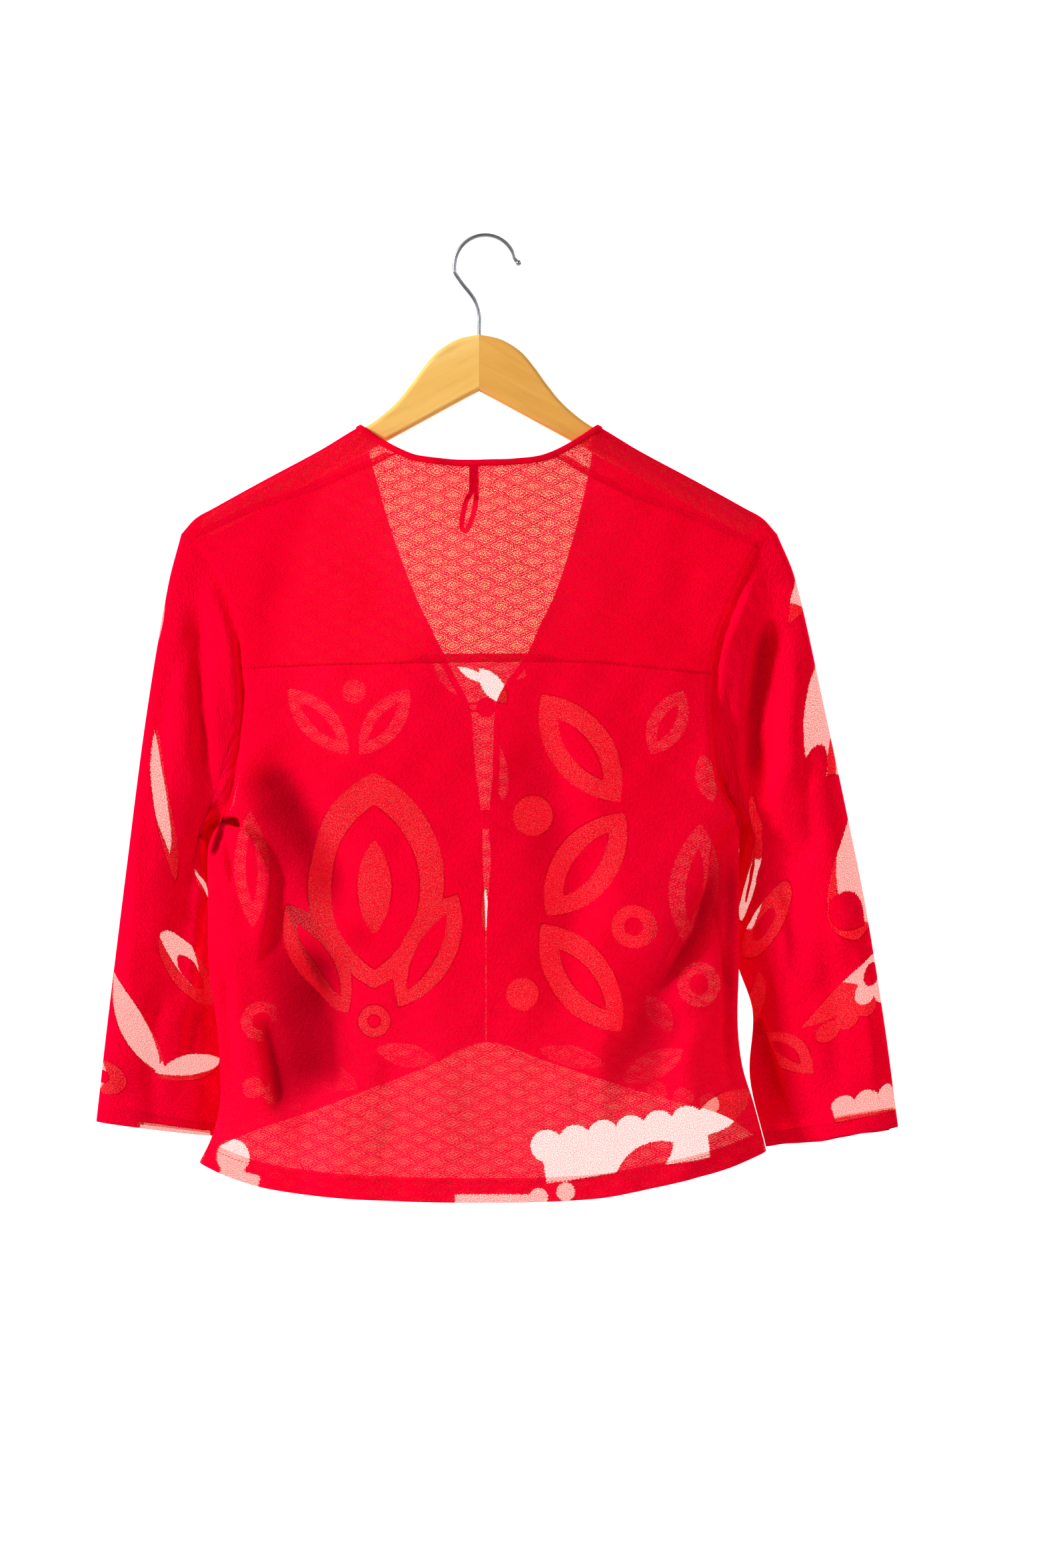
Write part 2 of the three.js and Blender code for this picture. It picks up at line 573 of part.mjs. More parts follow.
/** Turns round the sleeve at which the rows of the back and of the front meet the armhole. */
function armholeTurns(side) {
  const { armholeZ } = seamEnds[side];
  const yokeFoot = meet(side, yokeSeam, -325);
  const wrap = WRAP_DROPS.slice(0, -1).map((share) => lerp(FRONT_TOP.tip, armholeZ, share)).reverse();
  const yoke = steps(GRID.yokeRows).slice(1).map((v) => lerp(armholeZ, yokeFoot, v));
  const lower = steps(GRID.backAbove).slice(1).map((v) => lerp(yokeFoot, UNDERARM_Z, v));
  const behind = [FRONT_TOP.tip, ...wrap, ...yoke, ...lower];
  const before = FRONT_ROWS.filter((v) => v > 0 && v < FRONT_UNDER - 1e-6)
    .map((v) => edgeHeight(FRONT_TOP.tip, UNDERARM_Z, FRONT_UNDER, v));
  const toTurn = (z) => Math.acos(clamp(1 - 2 * (z - FRONT_TOP.tip) / (UNDERARM_Z - FRONT_TOP.tip), -1, 1)) / (2 * Math.PI);
  return [...behind.map(toTurn), ...before.map((z) => 1 - toTurn(z)).reverse()];
}

/** The armhole seam as a loop: 0 at the shoulder tip, half a turn at the underarm. */
function armholeLoop(side, turn) {
  const share = turnShare(turn);
  const z = lerp(FRONT_TOP.tip, UNDERARM_Z, share);
  const face = turn < 0.5 ? 'back' : 'front';
  const place = bodyPoint(face, CENTRE_X + signOf(side) * armhole[side](z), z);
  place.point.x += signOf(side) * (SEAM_GAP / 2 + UNDERARM_CLEAR * smooth((share - 0.72) / 0.28));
  return place;
}

/** The plain flattened tube of the sleeve. */
function sleeveTube(side, s, turn) {
  const outer = point3(SLEEVES[side].outer)(s);
  const inner = point3(SLEEVES[side].inner)(s);
  let half = sleeveHalf(s);
  for (const fold of SLEEVE_FOLDS[side]) {
    const fade = smooth((s - fold.s1) / 0.12) * smooth((fold.s2 + 0.1 - s) / 0.15);
    half += fold.height * fade * Math.exp(-(((turn - fold.turn) / fold.width) ** 2));
  }
  const share = turnShare(turn);
  if (turn < 0.5) half *= 1 - FLAT_BEHIND * smooth((share - 0.75) / 0.25);
  return outer.lerp(inner, share).add(new THREE.Vector3(0, -half * Math.sin(2 * Math.PI * turn), 0));
}

function sleevePoint(side, s, turn) {
  const fade = lerp(CAP_FADE.top, CAP_FADE.underarm, smooth((turnShare(turn) - 0.6) / 0.3));
  const keep = 1 - smooth(s / fade);
  const point = sleeveTube(side, s, turn);
  if (keep > 0) {
    const cap = armholeLoop(side, turn).point.sub(sleeveTube(side, 0, turn));
    point.addScaledVector(cap, keep);
  }
  return point;
}

function sleeve(side) {
  const hemStart = 1 - HEM_TURN / 400;
  const shares = [...SLEEVE_STEPS, hemStart - 0.003, hemStart, 1];
  const turns = armholeTurns(side);
  const h = 0.002;
  const grid = shares.map((s) => turns.map((turn) => {
    const point = sleevePoint(side, s, turn);
    const down = sleevePoint(side, s + h, turn).sub(point);
    const round = sleevePoint(side, s, (turn + h) % 1).sub(sleevePoint(side, s, (turn - h + 1) % 1));
    const normal = round.cross(down).multiplyScalar(signOf(side)).normalize();
    const seamShare = (1 - smooth(s / 0.05)) * (1 - smooth((turnShare(turn) - 0.8) / 0.17));
    normal.lerp(armholeLoop(side, turn).normal, seamShare).normalize();
    return { point, normal, thick: s >= hemStart ? HEM_CLOTH : CLOTH };
  }));
  return wall(grid, true);
}

// ---------------------------------------------------------------- bindings, loop and buttons

/** A flat bar of binding from two rows of body places, along its outer and its inner edge. */
function bindingBar(pairs) {
  const grid = pairs.map(({ face, edge, inside }) => [edge, inside].map(({ x, z }) => {
    const place = bodyPoint(face, x, z, (BINDING_THICK - CLOTH) / 2);
    return { ...place, thick: BINDING_THICK };
  }));
  return wall(grid);
}

const NECK_END = 0.996;         // the neck binding stops just short of the corner

function neckBinding() {
  const half = (side) => {
    const beyond = WRAP_DROPS.slice(1).map((share) => neckShare(side, share));
    return [...yokeNeckShares(side), ...beyond, NECK_END].map((k) => {
      const place = (inset) => {
        const { out, z } = neckPlace(side, k, inset);
        return { x: CENTRE_X + signOf(side) * out, z };
      };
      return { face: 'back', edge: place(0), inside: place(BINDING_WIDTH) };
    });
  };
  return bindingBar([...half('left').reverse(), ...half('right').slice(1)]);
}

function frontBinding(side) {
  const pairs = [0.0012, ...FRONT_ROWS.slice(1)].map((v) => ({
    face: 'front',
    edge: frontPlace(side, 0, v, 0),
    inside: frontPlace(side, 0, v, BINDING_WIDTH),
  }));
  return bindingBar(pairs);
}

/** Tape doubled into a loop, stitched flat inside the back neck and hanging plumb. */
function hangingLoop() {
  const half = TAPE.width / 2;
  const left = CENTRE_X - 6 - half;
  const right = CENTRE_X - 1.2 + half;
  const z = TAPE.topZ;
  const outline = new THREE.Shape();
  outline.moveTo(left, z);
  outline.lineTo(left, z - 24);
  outline.bezierCurveTo(left - 0.6, z - 36, left - 6.4, z - 42, left - 6.2, z - 49);
  outline.bezierCurveTo(left - 6, z - 56, left + 0.5, z - 56.5, left + 2.6, z - 51);
  outline.bezierCurveTo(left + 5, z - 44, right, z - 38, right, z - 24);
  outline.lineTo(right, z);
  const gap = new THREE.Path();
  gap.moveTo(CENTRE_X - 3.4, z - 26);
  gap.bezierCurveTo(CENTRE_X - 3.6, z - 34, left + 1.2, z - 42, left - 1.4, z - 49);
  gap.bezierCurveTo(left - 2.6, z - 44, left + 3.6, z - 36, CENTRE_X - 3.9, z - 26);
  outline.holes.push(gap);
  const geometry = new THREE.ExtrudeGeometry(outline, { depth: TAPE.thick, bevelEnabled: false, curveSegments: 8 });
  geometry.rotateX(Math.PI / 2);
  const seat = bodyPoint('back', CENTRE_X - 3.6, z - 4).point.y;
  geometry.translate(0, seat + TAPE.fromBack + TAPE.thick, 0);
  return geometry;
}

/** Height of the outer face of the front bindings, at a button. */
const bindingFace = (z) => bodyPoint('front', CENTRE_X, z).point.y + BINDING_THICK / 2 + (BINDING_THICK - CLOTH) / 2;

/** Round dished button with a stub shank behind, axis along Y. */
function button({ x, z }) {
  const r = BUTTON.diameter / 2;
  const back = bindingFace(z) + SEAM_GAP + LOOP_CORD + SEAM_GAP;
  const profile = [
    [0, -LOOP_CORD - SEAM_GAP], [BUTTON.shank / 2, -LOOP_CORD - SEAM_GAP], [BUTTON.shank / 2, 0],
    [r - 1, 0], [r, 1], [r, BUTTON.thick - 1], [r - 0.6, BUTTON.thick - 0.2], [r - BUTTON.rim, BUTTON.thick],
    [r - BUTTON.rim - 1.2, BUTTON.thick - BUTTON.dish], [0, BUTTON.thick - BUTTON.dish],
  ].map(([radius, height]) => new THREE.Vector2(radius, height));
  const geometry = new THREE.LatheGeometry(profile, BUTTON.sides);
  geometry.translate(x, back, z);
  return geometry;
}

/** A round cord along a smooth line through points. */
function cord(points, diameter, sides, count) {
  const section = new THREE.Shape().absarc(0, 0, diameter / 2, 0, 2 * Math.PI);
  const polygon = new THREE.Shape(section.getPoints(sides / 2).slice(0, -1));
  const path = new THREE.CatmullRomCurve3(points, false, 'centripetal');
  return new THREE.ExtrudeGeometry(polygon, { steps: count, extrudePath: path, bevelEnabled: false });
}

/** Cord loop from the left front's binding round the button's shank. */
function buttonLoop({ x, z, loopStart }) {
  const y = bindingFace(z) + SEAM_GAP + LOOP_CORD / 2;
  const reach = BUTTON.shank / 2 + SEAM_GAP + LOOP_CORD / 2;
  const turn = steps(6).map((u) => {
    const angle = Math.PI * (0.5 - u);
    return new THREE.Vector3(x + reach * Math.cos(angle), y, z + reach * Math.sin(angle));
  });
  const from = new THREE.Vector3(loopStart - 3, y, z + reach * 0.9);
  const to = new THREE.Vector3(loopStart - 3, y, z - reach * 0.9);
  return cord([from, ...turn, to], LOOP_CORD, 6, 20);
}

// ---------------------------------------------------------------- hanger

/** Outline of one arm of the wooden hanger: along the top, round the end and back to the notch. */
function armOutline() {
  const armTop = (out) => shoulderLine(out) - WOOD.under;
  const rows = [...WOOD_TOP];
  for (const out of [110, 135, 160, 185, WOOD.roundFrom]) rows.push({ out, z: armTop(out) });
  const line = new THREE.SplineCurve(rows.map(({ out, z }) => new THREE.Vector2(out, z)));
  const top = line.getPoints(44);
  const along = new THREE.Vector2(1, -WOOD.slope).normalize();
  const across = new THREE.Vector2(-along.y, along.x);
  const footLine = (out) => WOOD.notchZ - WOOD.slope * out;
  const last = top[top.length - 1];
  const half = ((last.y - footLine(last.x)) * along.x) / 2;
  const middle = last.clone().addScaledVector(across, -half);
  const end = steps(8).slice(1).map((u) => {
    const angle = Math.PI * (0.5 - u);
    return middle.clone()
      .addScaledVector(along, WOOD.endReach * Math.cos(angle))
      .addScaledVector(across, half * Math.sin(angle));
  });
  return [...top, ...end].map((p) => [p.x, p.y]);
}

/** The flat wooden hanger in one piece, its edges rounded. */
function woodBlank() {
  const arm = armOutline();
  const right = arm.map(([out, z]) => new THREE.Vector2(CENTRE_X + out, z));
  const left = arm.slice(1).map(([out, z]) => new THREE.Vector2(CENTRE_X - out, z)).reverse();
  const notch = new THREE.Vector2(CENTRE_X, WOOD.notchZ);
  const geometry = new THREE.ExtrudeGeometry(new THREE.Shape([...right, notch, ...left]), {
    depth: WOOD.thick - 2 * WOOD.round, bevelEnabled: true, bevelThickness: WOOD.round,
    bevelSize: WOOD.round, bevelOffset: -WOOD.round, bevelSegments: 3,
  });
  geometry.translate(0, 0, -(WOOD.thick - 2 * WOOD.round) / 2);
  geometry.rotateX(Math.PI / 2);
  return geometry;
}

/** Centre line of the hook: free end, round over the crown, back in to the stem. */
function hookLine() {
  const centre = WIRE.diameter / 2 - WIRE.radius;
  const arc = [];
  for (let angle = 24; angle <= 196; angle += 8.6) {
    const a = THREE.MathUtils.degToRad(angle);
    arc.push(new THREE.Vector3(WIRE.radius * Math.cos(a), 0, centre + WIRE.radius * Math.sin(a)));
  }
  const end = [new THREE.Vector3(25, 0, -19.5), new THREE.Vector3(22.4, 0, -16.6)];
  const neck = [[-16.6, -36], [-10.6, -43.4], [-6.6, -50], [CENTRE_X, -58], [CENTRE_X, -66]];
  const stem = [...neck, [CENTRE_X, -75], [CENTRE_X, WOOD_TOP[0].z - WIRE.bore + 1]];
  return [...end, ...arc, ...stem.map(([x, z]) => new THREE.Vector3(x, 0, z))];
}

// ---------------------------------------------------------------- joining and cutting

const wasm = await Module();
wasm.setup();

function toSolid(geometry) {
  const bare = geometry.clone();
  bare.deleteAttribute('normal');
  bare.deleteAttribute('uv');
  const merged = mergeVertices(bare, 1e-4);
  return new wasm.Manifold(new wasm.Mesh({
    numProp: 3,
    vertProperties: new Float32Array(merged.attributes.position.array),
    triVerts: new Uint32Array(merged.index.array),
  }));
}

function fromSolid(solid) {
  const { vertProperties, triVerts } = solid.getMesh();
  return geometryOf(Array.from(vertProperties), Array.from(triVerts));
}

function hook() {
  const line = hookLine();
  const wire = facingOut(mergeVertices(stripped(cord(line, WIRE.diameter, WIRE.sides, WIRE.steps)), 1e-4));
  const ball = new THREE.SphereGeometry(WIRE.ball / 2, 16, 10);
  ball.translate(line[0].x, 0, line[0].z);
  return fromSolid(toSolid(wire).add(toSolid(ball)));
}

function stripped(geometry) {
  geometry.deleteAttribute('normal');
  geometry.deleteAttribute('uv');
  return geometry;
}

/** One half of the hanger, cut at the mitre and bored for the hook's stem. */
function woodHalf(side) {
  const blank = facingOut(mergeVertices(stripped(woodBlank()), 1e-4));
  const away = new THREE.BoxGeometry(400, 40, 400);
  away.translate(CENTRE_X - signOf(side) * (200 - SEAM_GAP / 2), 0, -150);
  const radius = WIRE.diameter / 2 + SEAM_GAP;
  const bore = new THREE.CylinderGeometry(radius, radius, 2 * WIRE.bore, 16);
  bore.rotateX(Math.PI / 2);
  bore.translate(CENTRE_X, 0, WOOD_TOP[0].z - SEAM_GAP);
  return fromSolid(toSolid(blank).subtract(toSolid(away)).subtract(toSolid(bore)));
}

// ---------------------------------------------------------------- the object

const material = (color, roughness, metalness = 0) => new THREE.MeshStandardMaterial({ color, roughness, metalness });
const MATERIALS = {
  cloth: material(COLOURS.cloth, 0.85),
  binding: material(COLOURS.binding, 0.85),
  tape: material(COLOURS.tape, 0.8),
  wood: material(COLOURS.wood, 0.5),
  steel: material(COLOURS.steel, 0.25, 1),
  button: material(COLOURS.button, 0.4),
};

const object = new THREE.Group();

function add(name, geometry, look) {
  const bare = stripped(geometry);
  const closed = facingOut(mergeVertices(bare, 1e-4));
  const mesh = new THREE.Mesh(closed, MATERIALS[look]);
  mesh.name = name;
  object.add(mesh);
}

add('back_yoke', backYoke(), 'cloth');
add('back_lower', lowerBack(), 'cloth');
for (const side of SIDES) {
  add(`front_${side}`, front(side), 'cloth');
  add(`sleeve_${side}`, sleeve(side), 'cloth');
  add(`binding_${side}`, frontBinding(side), 'binding');
  add(`hanger_${side}`, woodHalf(side), 'wood');
}
add('binding_neck', neckBinding(), 'binding');
add('hanging_loop', hangingLoop(), 'tape');
for (const row of BUTTONS) {
  add(`button_${row.name}`, button(row), 'button');
  add(`button_loop_${row.name}`, buttonLoop(row), 'binding');
}
add('hook', hook(), 'steel');

export default object;
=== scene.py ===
"""A short red burn-out cardigan with a V neck, buttoned, on a wooden hanger: its looks.

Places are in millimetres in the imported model's frame, and MM turns them into metres. The back
of the garment faces -Y, the wearer's right is +X, and the origin is inside the hook's crown.

The body's cloth lies on one surface, y = -depth behind and y = +depth in front, where the depth
is a function of x and z. Panels, bindings, seams, stitches and buttons take their places from it.
"""

import math
from functools import partial

import bmesh
import bpy
import numpy as np
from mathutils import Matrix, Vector


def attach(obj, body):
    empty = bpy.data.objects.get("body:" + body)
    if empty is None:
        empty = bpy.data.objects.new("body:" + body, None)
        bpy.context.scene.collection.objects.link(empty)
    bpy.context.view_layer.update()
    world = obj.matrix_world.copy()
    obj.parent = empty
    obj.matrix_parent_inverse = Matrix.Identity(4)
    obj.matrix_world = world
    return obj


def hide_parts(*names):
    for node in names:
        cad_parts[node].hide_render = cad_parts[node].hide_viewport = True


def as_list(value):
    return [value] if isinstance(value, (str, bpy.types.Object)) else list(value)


MM = 0.001
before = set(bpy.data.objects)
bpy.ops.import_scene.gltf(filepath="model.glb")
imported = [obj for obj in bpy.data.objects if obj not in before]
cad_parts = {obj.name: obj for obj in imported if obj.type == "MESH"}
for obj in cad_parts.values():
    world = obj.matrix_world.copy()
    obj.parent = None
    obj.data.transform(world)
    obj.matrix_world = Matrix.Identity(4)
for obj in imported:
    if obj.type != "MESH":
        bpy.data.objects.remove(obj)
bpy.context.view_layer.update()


# ---------------------------------------------------------------- sizes shared with the solids

def numbers(rows):
    """Rows parted by commas, as an array."""
    return np.array([row.split() for row in rows.split(",")], float)


def table(names, rows):
    """Columns by name."""
    return dict(zip(names.split(), numbers(rows).T))


CENTRE_X = -4.5         # middle of the hanger and of the back
SEAM = 0.15             # half the space between the front and back cloth at the side seams
HEM_TURN = 16           # cloth turned up at the hem and the cuffs
HEM_ROUND = 0.75        # bend of the cloth at a turned-up edge
ALLOWANCE = 6.5         # cloth pressed up inside the seams
BINDING = {"width": 5.0, "thick": 1.15, "cover": 2.4}
RIDGE_RADIUS = 9        # round bend of the cloth over the hanger
TENT = 0.22             # slope of the cloth away from it
FULLNESS = 0.15         # how much squarer than an ellipse the tube is
CREASES_FROM, CREASES_WHOLE = 8, 17     # depths between which creases rise to their whole height
NECK_OUT, TIP_OUT = 88, 223.5           # the neckline's corner and the shoulder's tip
NECK_CORNER = {"from": 0.72, "slope": 0.56}     # where the inner edge starts to turn, and to what
UNDERARM_Z = -438.5     # where the armhole ends and the side seam starts
SIDES = ("left", "right")
SIGN = {"left": -1, "right": 1}
FACE = {"back": -1, "front": 1}

BUTTON = {"diameter": 15, "thick": 3.4, "rim": 1.4, "bend": 0.8, "dish": 0.7, "shank": 3.6,
          "shank_length": 1.9, "fillet": 0.4, "dish_slope": 1.6, "dish_floor": 1.2, "ease": 0.3}
LOOP_CORD = 1.6
BUTTONS = {"upper": (0.2, -352, -12), "lower": (0, -437.5, -6.5)}   # x, z, start of the loop
TAPE = {"width": 3.8, "thick": 0.9, "gap": 0.9}
TAPE_ROUTE = numbers("""
    -9.9 -172, -9.9 -184, -10.4 -193, -13.4 -199, -15.6 -206, -17.2 -215, -17.0 -220,
    -14.4 -222.3, -12.0 -219, -10.0 -214, -7.4 -205, -6.6 -198, -6.4 -191, -6.5 -184, -6.6 -172""")
WIRE = {"diameter": 2.8, "radius": 23, "ball": 4.2}
WOOD = {"thick": 12, "round": 3.2, "under": 2.3, "round_from": 204, "end_reach": 9,
        "notch_z": -115.5, "slope": 0.545, "joint": 0.02}
WOOD_TOP = numbers("""
    0 -73.5, 16 -77, 31 -86, 42 -98.5, 51 -111, 62 -124.5, 75 -136, 88 -144.6""")

SHOULDER_LINE = table("out z", """
    0 -110, 40 -119, 88 -141.5, 120 -160.5, 162 -183, 200 -204, 213 -211.5, 223.5 -223, 240 -240""")
PANEL_EDGE = table("z left right", """
    -223 223.5 223.5, -232 212 211, -252 199 200, -275 188 190, -300 180.5 180.5, -323 178 176,
    -346 176.5 174.5, -368 178 174.5, -392 181.5 177, -416 185.5 182, -430 189 188,
    -438.5 193.5 195""")
SIDE_SEAM = table("z left right", """
    -438.5 193.5 195, -448 200 195.5, -460 203.5 195, -500 203.5 195, -545 203 195, -590 197 194,
    -622 194.5 197.5, -650 194.5 206, -676 201 213, -700 213 219""")
TUBE_ABOVE = table("z left right", """
    -438.5 193.5 195, -430 197 198, -400 202 202, -345 206 205, -300 214 214, -224 240 240,
    -100 272 272""")
DEPTH = table("z back front", """
    -60 44 46, -200 44 47, -320 43 48, -440 40 44, -560 41 43, -640 44 45, -730 47 47""")
BACK_NECK = table("out z", """
    0 -168.6, 20 -168.1, 45 -165.2, 60 -159.4, 75 -150.7, 88 -141.5""")
SHOULDER_SEAM = table("out left right", """
    60 36 40, 80 36 43, 110 32 40.5, 145 25.5 34, 176 20 30, 212 17 26""")
YOKE_SEAM = table("x z", """
    -190 -325.5, -136 -323, -91 -321.8, 0 -320.3, 80 -320.8, 122 -324.6, 180 -330.5""")
BACK_HEM = table("x z", """
    -220 -692, -180 -706.5, -144 -713.5, -91 -718, 0 -720, 80 -717.5, 122 -710.5, 176 -698,
    216 -684""")
FRONT_HEM = table("x z", """
    -220 -692, -180 -674, -140 -661.5, -91 -643.5, -46 -626, 0 -607, 46 -621.5, 91 -636,
    140 -650, 183 -662, 216 -684""")
FRONT_EDGE = table("z left right", """
    -141.5 -92.5 83.5, -180 -82.5 77, -229 -68 65, -267 -53.5 52.5, -290 -43 41.5, -313 -31.5 31,
    -330 -23 18.5, -345 -15 9.5, -356 -11 6.8, -384 -9 5.8, -405 -7.2 5.2, -425 -4.5 3.3,
    -445 -2.5 2.2, -466 -2.4 4, -500 -0.8 1.6, -520 -0.2 0.6, -650 -0.2 0.6""")
SLEEVES = {
    "left": table("s ox oy oz ix iy iz", """
        0 -228 0 -223 -198 0 -438.5, 0.09 -238 0 -262 -205 13 -462,
        0.3 -254.5 1 -360 -202 24 -508, 0.55 -270 3 -478 -196 29 -568,
        0.8 -284 5 -590 -193 31 -630, 1 -292.5 6 -664 -194 31 -678"""),
    "right": table("s ox oy oz ix iy iz", """
        0 219 0 -223 192.5 0 -438.5, 0.09 233 0 -258 191.5 15 -462, 0.3 256 1 -360 188 22 -510,
        0.45 271.5 2.2 -432 190 23 -544, 0.6 285.5 3.4 -501 202 23 -582,
        0.8 300 5 -590 200 24 -632, 1 310.5 6 -668 212 25 -684"""),
}
SLEEVE_DEPTH = table("s half", "0 23, 0.2 26, 0.45 22, 0.75 17, 1 15")
YOKE_LENGTH, BACK_LENGTH, FRONT_LENGTH, SLEEVE_LENGTH = 125, 385, 465, 440
FLAT_BEHIND = 0.75                          # how flat a sleeve lies beside the body
CAP_FADE = {"top": 0.4, "underarm": 0.11}   # share of a sleeve over which its cap becomes a tube
UNDERARM_CLEAR = 1.5                        # space between sleeve and body at the underarm
EDGE_LEAN = {"share": 0.87, "until": 0.06}  # how little of an inset goes along x at a front's top
SEAM_DIP = {"armhole": (4.5, 3), "yoke": (0.2, 1), "shoulder": (0.3, 1.6)}     # depth, half width
DIP_LIMITS = {"above_underarm": 12, "from_middle": 58}
SLEEVE_ROLL = {"height": 10.0, "rise": 3.6, "fall": 20}    # the sleeve stands up beside its seam
# Where things fade on a sleeve: (start, width) as shares of the way from shoulder to underarm,
# as shares down the sleeve, or in mm above the underarm.
SLEEVE_FADE = {"clear": (0.8, 0.2), "flat": (0.75, 0.25), "cap": (0.6, 0.3), "roll": (0.03, 0.25),
               "roll_height": 30, "creases": 0.03, "fold_in": 0.12, "fold_out": (0.1, 0.15)}

# The body's largest folds, as in the solids: a line, then half width and height.
BODY_FOLDS = {
    "back": [
        (-168, -372, -140, -690, 19, -9), (-196, -470, -186, -640, 12, 6),
        (-118, -560, -104, -715, 18, 5), (186, -448, 88, -640, 20, -8.5),
        (140, -440, 62, -560, 24, 5), (152, -560, 150, -700, 16, 6)],
    "front": [
        (150, -400, 120, -640, 19, -8), (-175, -440, -95, -620, 18, -8),
        (-70, -300, -110, -600, 20, 5)],
}
FOLD_FADE, FOLD_END = 0.3, 1.15     # share over which a fold rises or dies, and where it has died
FOLD_EASE = 8                       # keeps a fold small where the body is thin
# Largest folds of the sleeves: turn round the tube, from and to a share down, width, height.
SLEEVE_FOLDS = {
    "left": [(0.3, 0.02, 0.5, 0.05, -4), (0.17, 0.1, 0.7, 0.05, 3), (0.7, 0.05, 0.6, 0.06, -4)],
    "right": [
        (0.27, 0.02, 0.55, 0.045, -7), (0.15, 0.1, 0.6, 0.05, 3), (0.34, 0.45, 1, 0.05, -4),
        (0.74, 0.05, 0.6, 0.06, -4)],
}

# ---------------------------------------------------------------- creases

# Finer creases: the line's points (x z), then its half widths and its height. On a
# line that runs down, the first half width is the one towards -x. A negative height is a trough.
CREASES = {
    "back": """
    -172 -386, -154 -412, -136 -445, -120 -478, -113 -500, -111 -524: 19 20 -13
    -122 -520, -124 -572, -120 -660: 22 26 -15
    -166 -580, -158 -615, -150 -665: 7 8 -7
    -197 -430, -184 -440, -170 -456, -158 -478, -163 -512, -172 -550: 12 3.2 8.0
    -198 -540, -196 -600, -195 -660: 3 8 -5.0
    -195 -433, -198 -442, -202 -453, -206 -470: 2.4 2.8 -18.0
    -212 -446, -203 -440, -195 -438, -187 -439, -180 -445: 2.2 2.4 -18.0
    -197 -444, -194 -456, -191 -470, -188 -490: 2.6 3.6 -3.5
    34 -352, 62 -470, 56 -560, 52 -622: 26 24 -8.5
    224 -436, 196 -437, 182 -436, 169 -447, 163 -474, 150 -505, 134 -536, 116 -572: 22 2.6 7.5
    226 -442, 196 -442, 184 -441, 172 -452, 169 -484, 158 -519, 143 -542, 124 -578: 3 13 -6
    188 -446, 185 -520, 184 -600, 185 -656: 6 5 -8.0
    150 -572, 134 -606, 122 -655: 18 13 -7.5
    170 -495, 178 -530, 187 -573: 2.0 2.6 -3.0
    96 -560, 86 -620, 84 -690: 12 12 4.0
    -90 -178, -14 -180.6, 30 -183.5, 84 -190: 4 3.4 -4.2
    -92 -188, -10 -194, 84 -204: 4 4 -4.2
    -60 -204, 0 -208, 50 -206: 6 5 1.2
    -92 -346, -104 -430, -96 -520: 26 20 -1.8
    18 -372, 26 -470, 14 -600: 18 24 -2.0
    64 -340, 78 -420, 70 -500: 16 24 2.0
    -30 -560, -36 -640, -22 -712: 14 18 2.4
    -72 -600, -66 -660, -78 -714: 9 12 -3.0
    56 -620, 62 -670, 52 -710: 10 12 2.8
    -150 -232, -158 -276, -152 -320: 12 18 -1.8
    150 -236, 152 -280, 146 -322: 16 12 -2.4
    -120 -244, -60 -262, 10 -262, 76 -250: 14 18 -1.0
    172 -352, 166 -400, 160 -430: 10 8 3.0""",
    "front": """
    176 -410, 150 -470, 140 -540, 134 -640: 18 7 -8
    -184 -440, -160 -476, -140 -530, -112 -590: 2 18 -8
    -120 -260, -128 -330, -122 -420: 12 16 -2.2
    112 -250, 122 -330, 112 -420: 16 12 -2.2
    -58 -300, -84 -380, -78 -470: 11 15 -2.4
    48 -300, 76 -380, 72 -500: 15 11 -2.4
    -14 -352, -44 -362, -84 -352: 4 6 -1.8
    10 -352, 40 -360, 78 -350: 6 4 -1.8
    -10 -438, -40 -450, -72 -446: 4 6 -1.6
    8 -438, 40 -448, 66 -446: 6 4 -1.6
    -52 -500, -58 -560, -46 -626: 10 14 -3.4
    44 -520, 52 -570, 42 -620: 12 9 -3.2
    94 -540, 90 -590, 98 -636: 10 12 3.4
    -160 -560, -166 -610, -156 -668: 9 12 -4.4
    170 -540, 176 -590, 172 -660: 10 9 -4.0""",
    "left sleeve back": """
    -197 -438, -206 -442, -214 -452: 2.6 3.4 -12.0
    -216 -270, -214 -322, -209 -382, -205 -430: 9 6 -9
    -212 -470, -219 -520, -222 -590: 6 9 4.0
    -236 -300, -246 -380, -252 -470: 7 10 -3.0
    -262 -420, -262 -500, -270 -600: 8 7 3.0
    -206 -480, -216 -560, -226 -640: 5 5 -3.4
    -244 -560, -250 -620, -248 -676: 8 8 -3.2""",
    "left sleeve front": """
    -226 -300, -232 -400, -240 -500: 9 7 -4.0
    -206 -460, -220 -500, -244 -530: 4 7 -4.0
    -252 -440, -262 -540, -262 -650: 8 8 2.8
    -216 -560, -224 -620, -222 -676: 7 7 -2.8""",
    "right sleeve back": """
    214 -275, 206 -312, 200 -355, 199 -395, 200 -430: 6 17 -13
    238 -290, 228 -350, 222 -420, 226 -480: 9 9 3.5
    214 -445, 228 -462, 246 -470: 4 6 -3.6
    246 -330, 240 -400, 246 -480: 6 8 -3.4
    216 -480, 224 -520, 228 -560: 6 6 3.4
    201 -573, 212 -602, 220 -629, 229 -662: 20 1.8 -9.0
    250 -500, 262 -580, 266 -660: 9 9 -3.4
    278 -520, 288 -600, 292 -660: 7 6 2.4""",
    "right sleeve front": """
    226 -300, 232 -400, 236 -490: 7 9 -4.2
    204 -460, 224 -498, 250 -520: 7 4 -4.0
    262 -440, 270 -540, 276 -650: 8 8 2.8
    226 -570, 236 -620, 240 -680: 7 7 -3.0""",
}
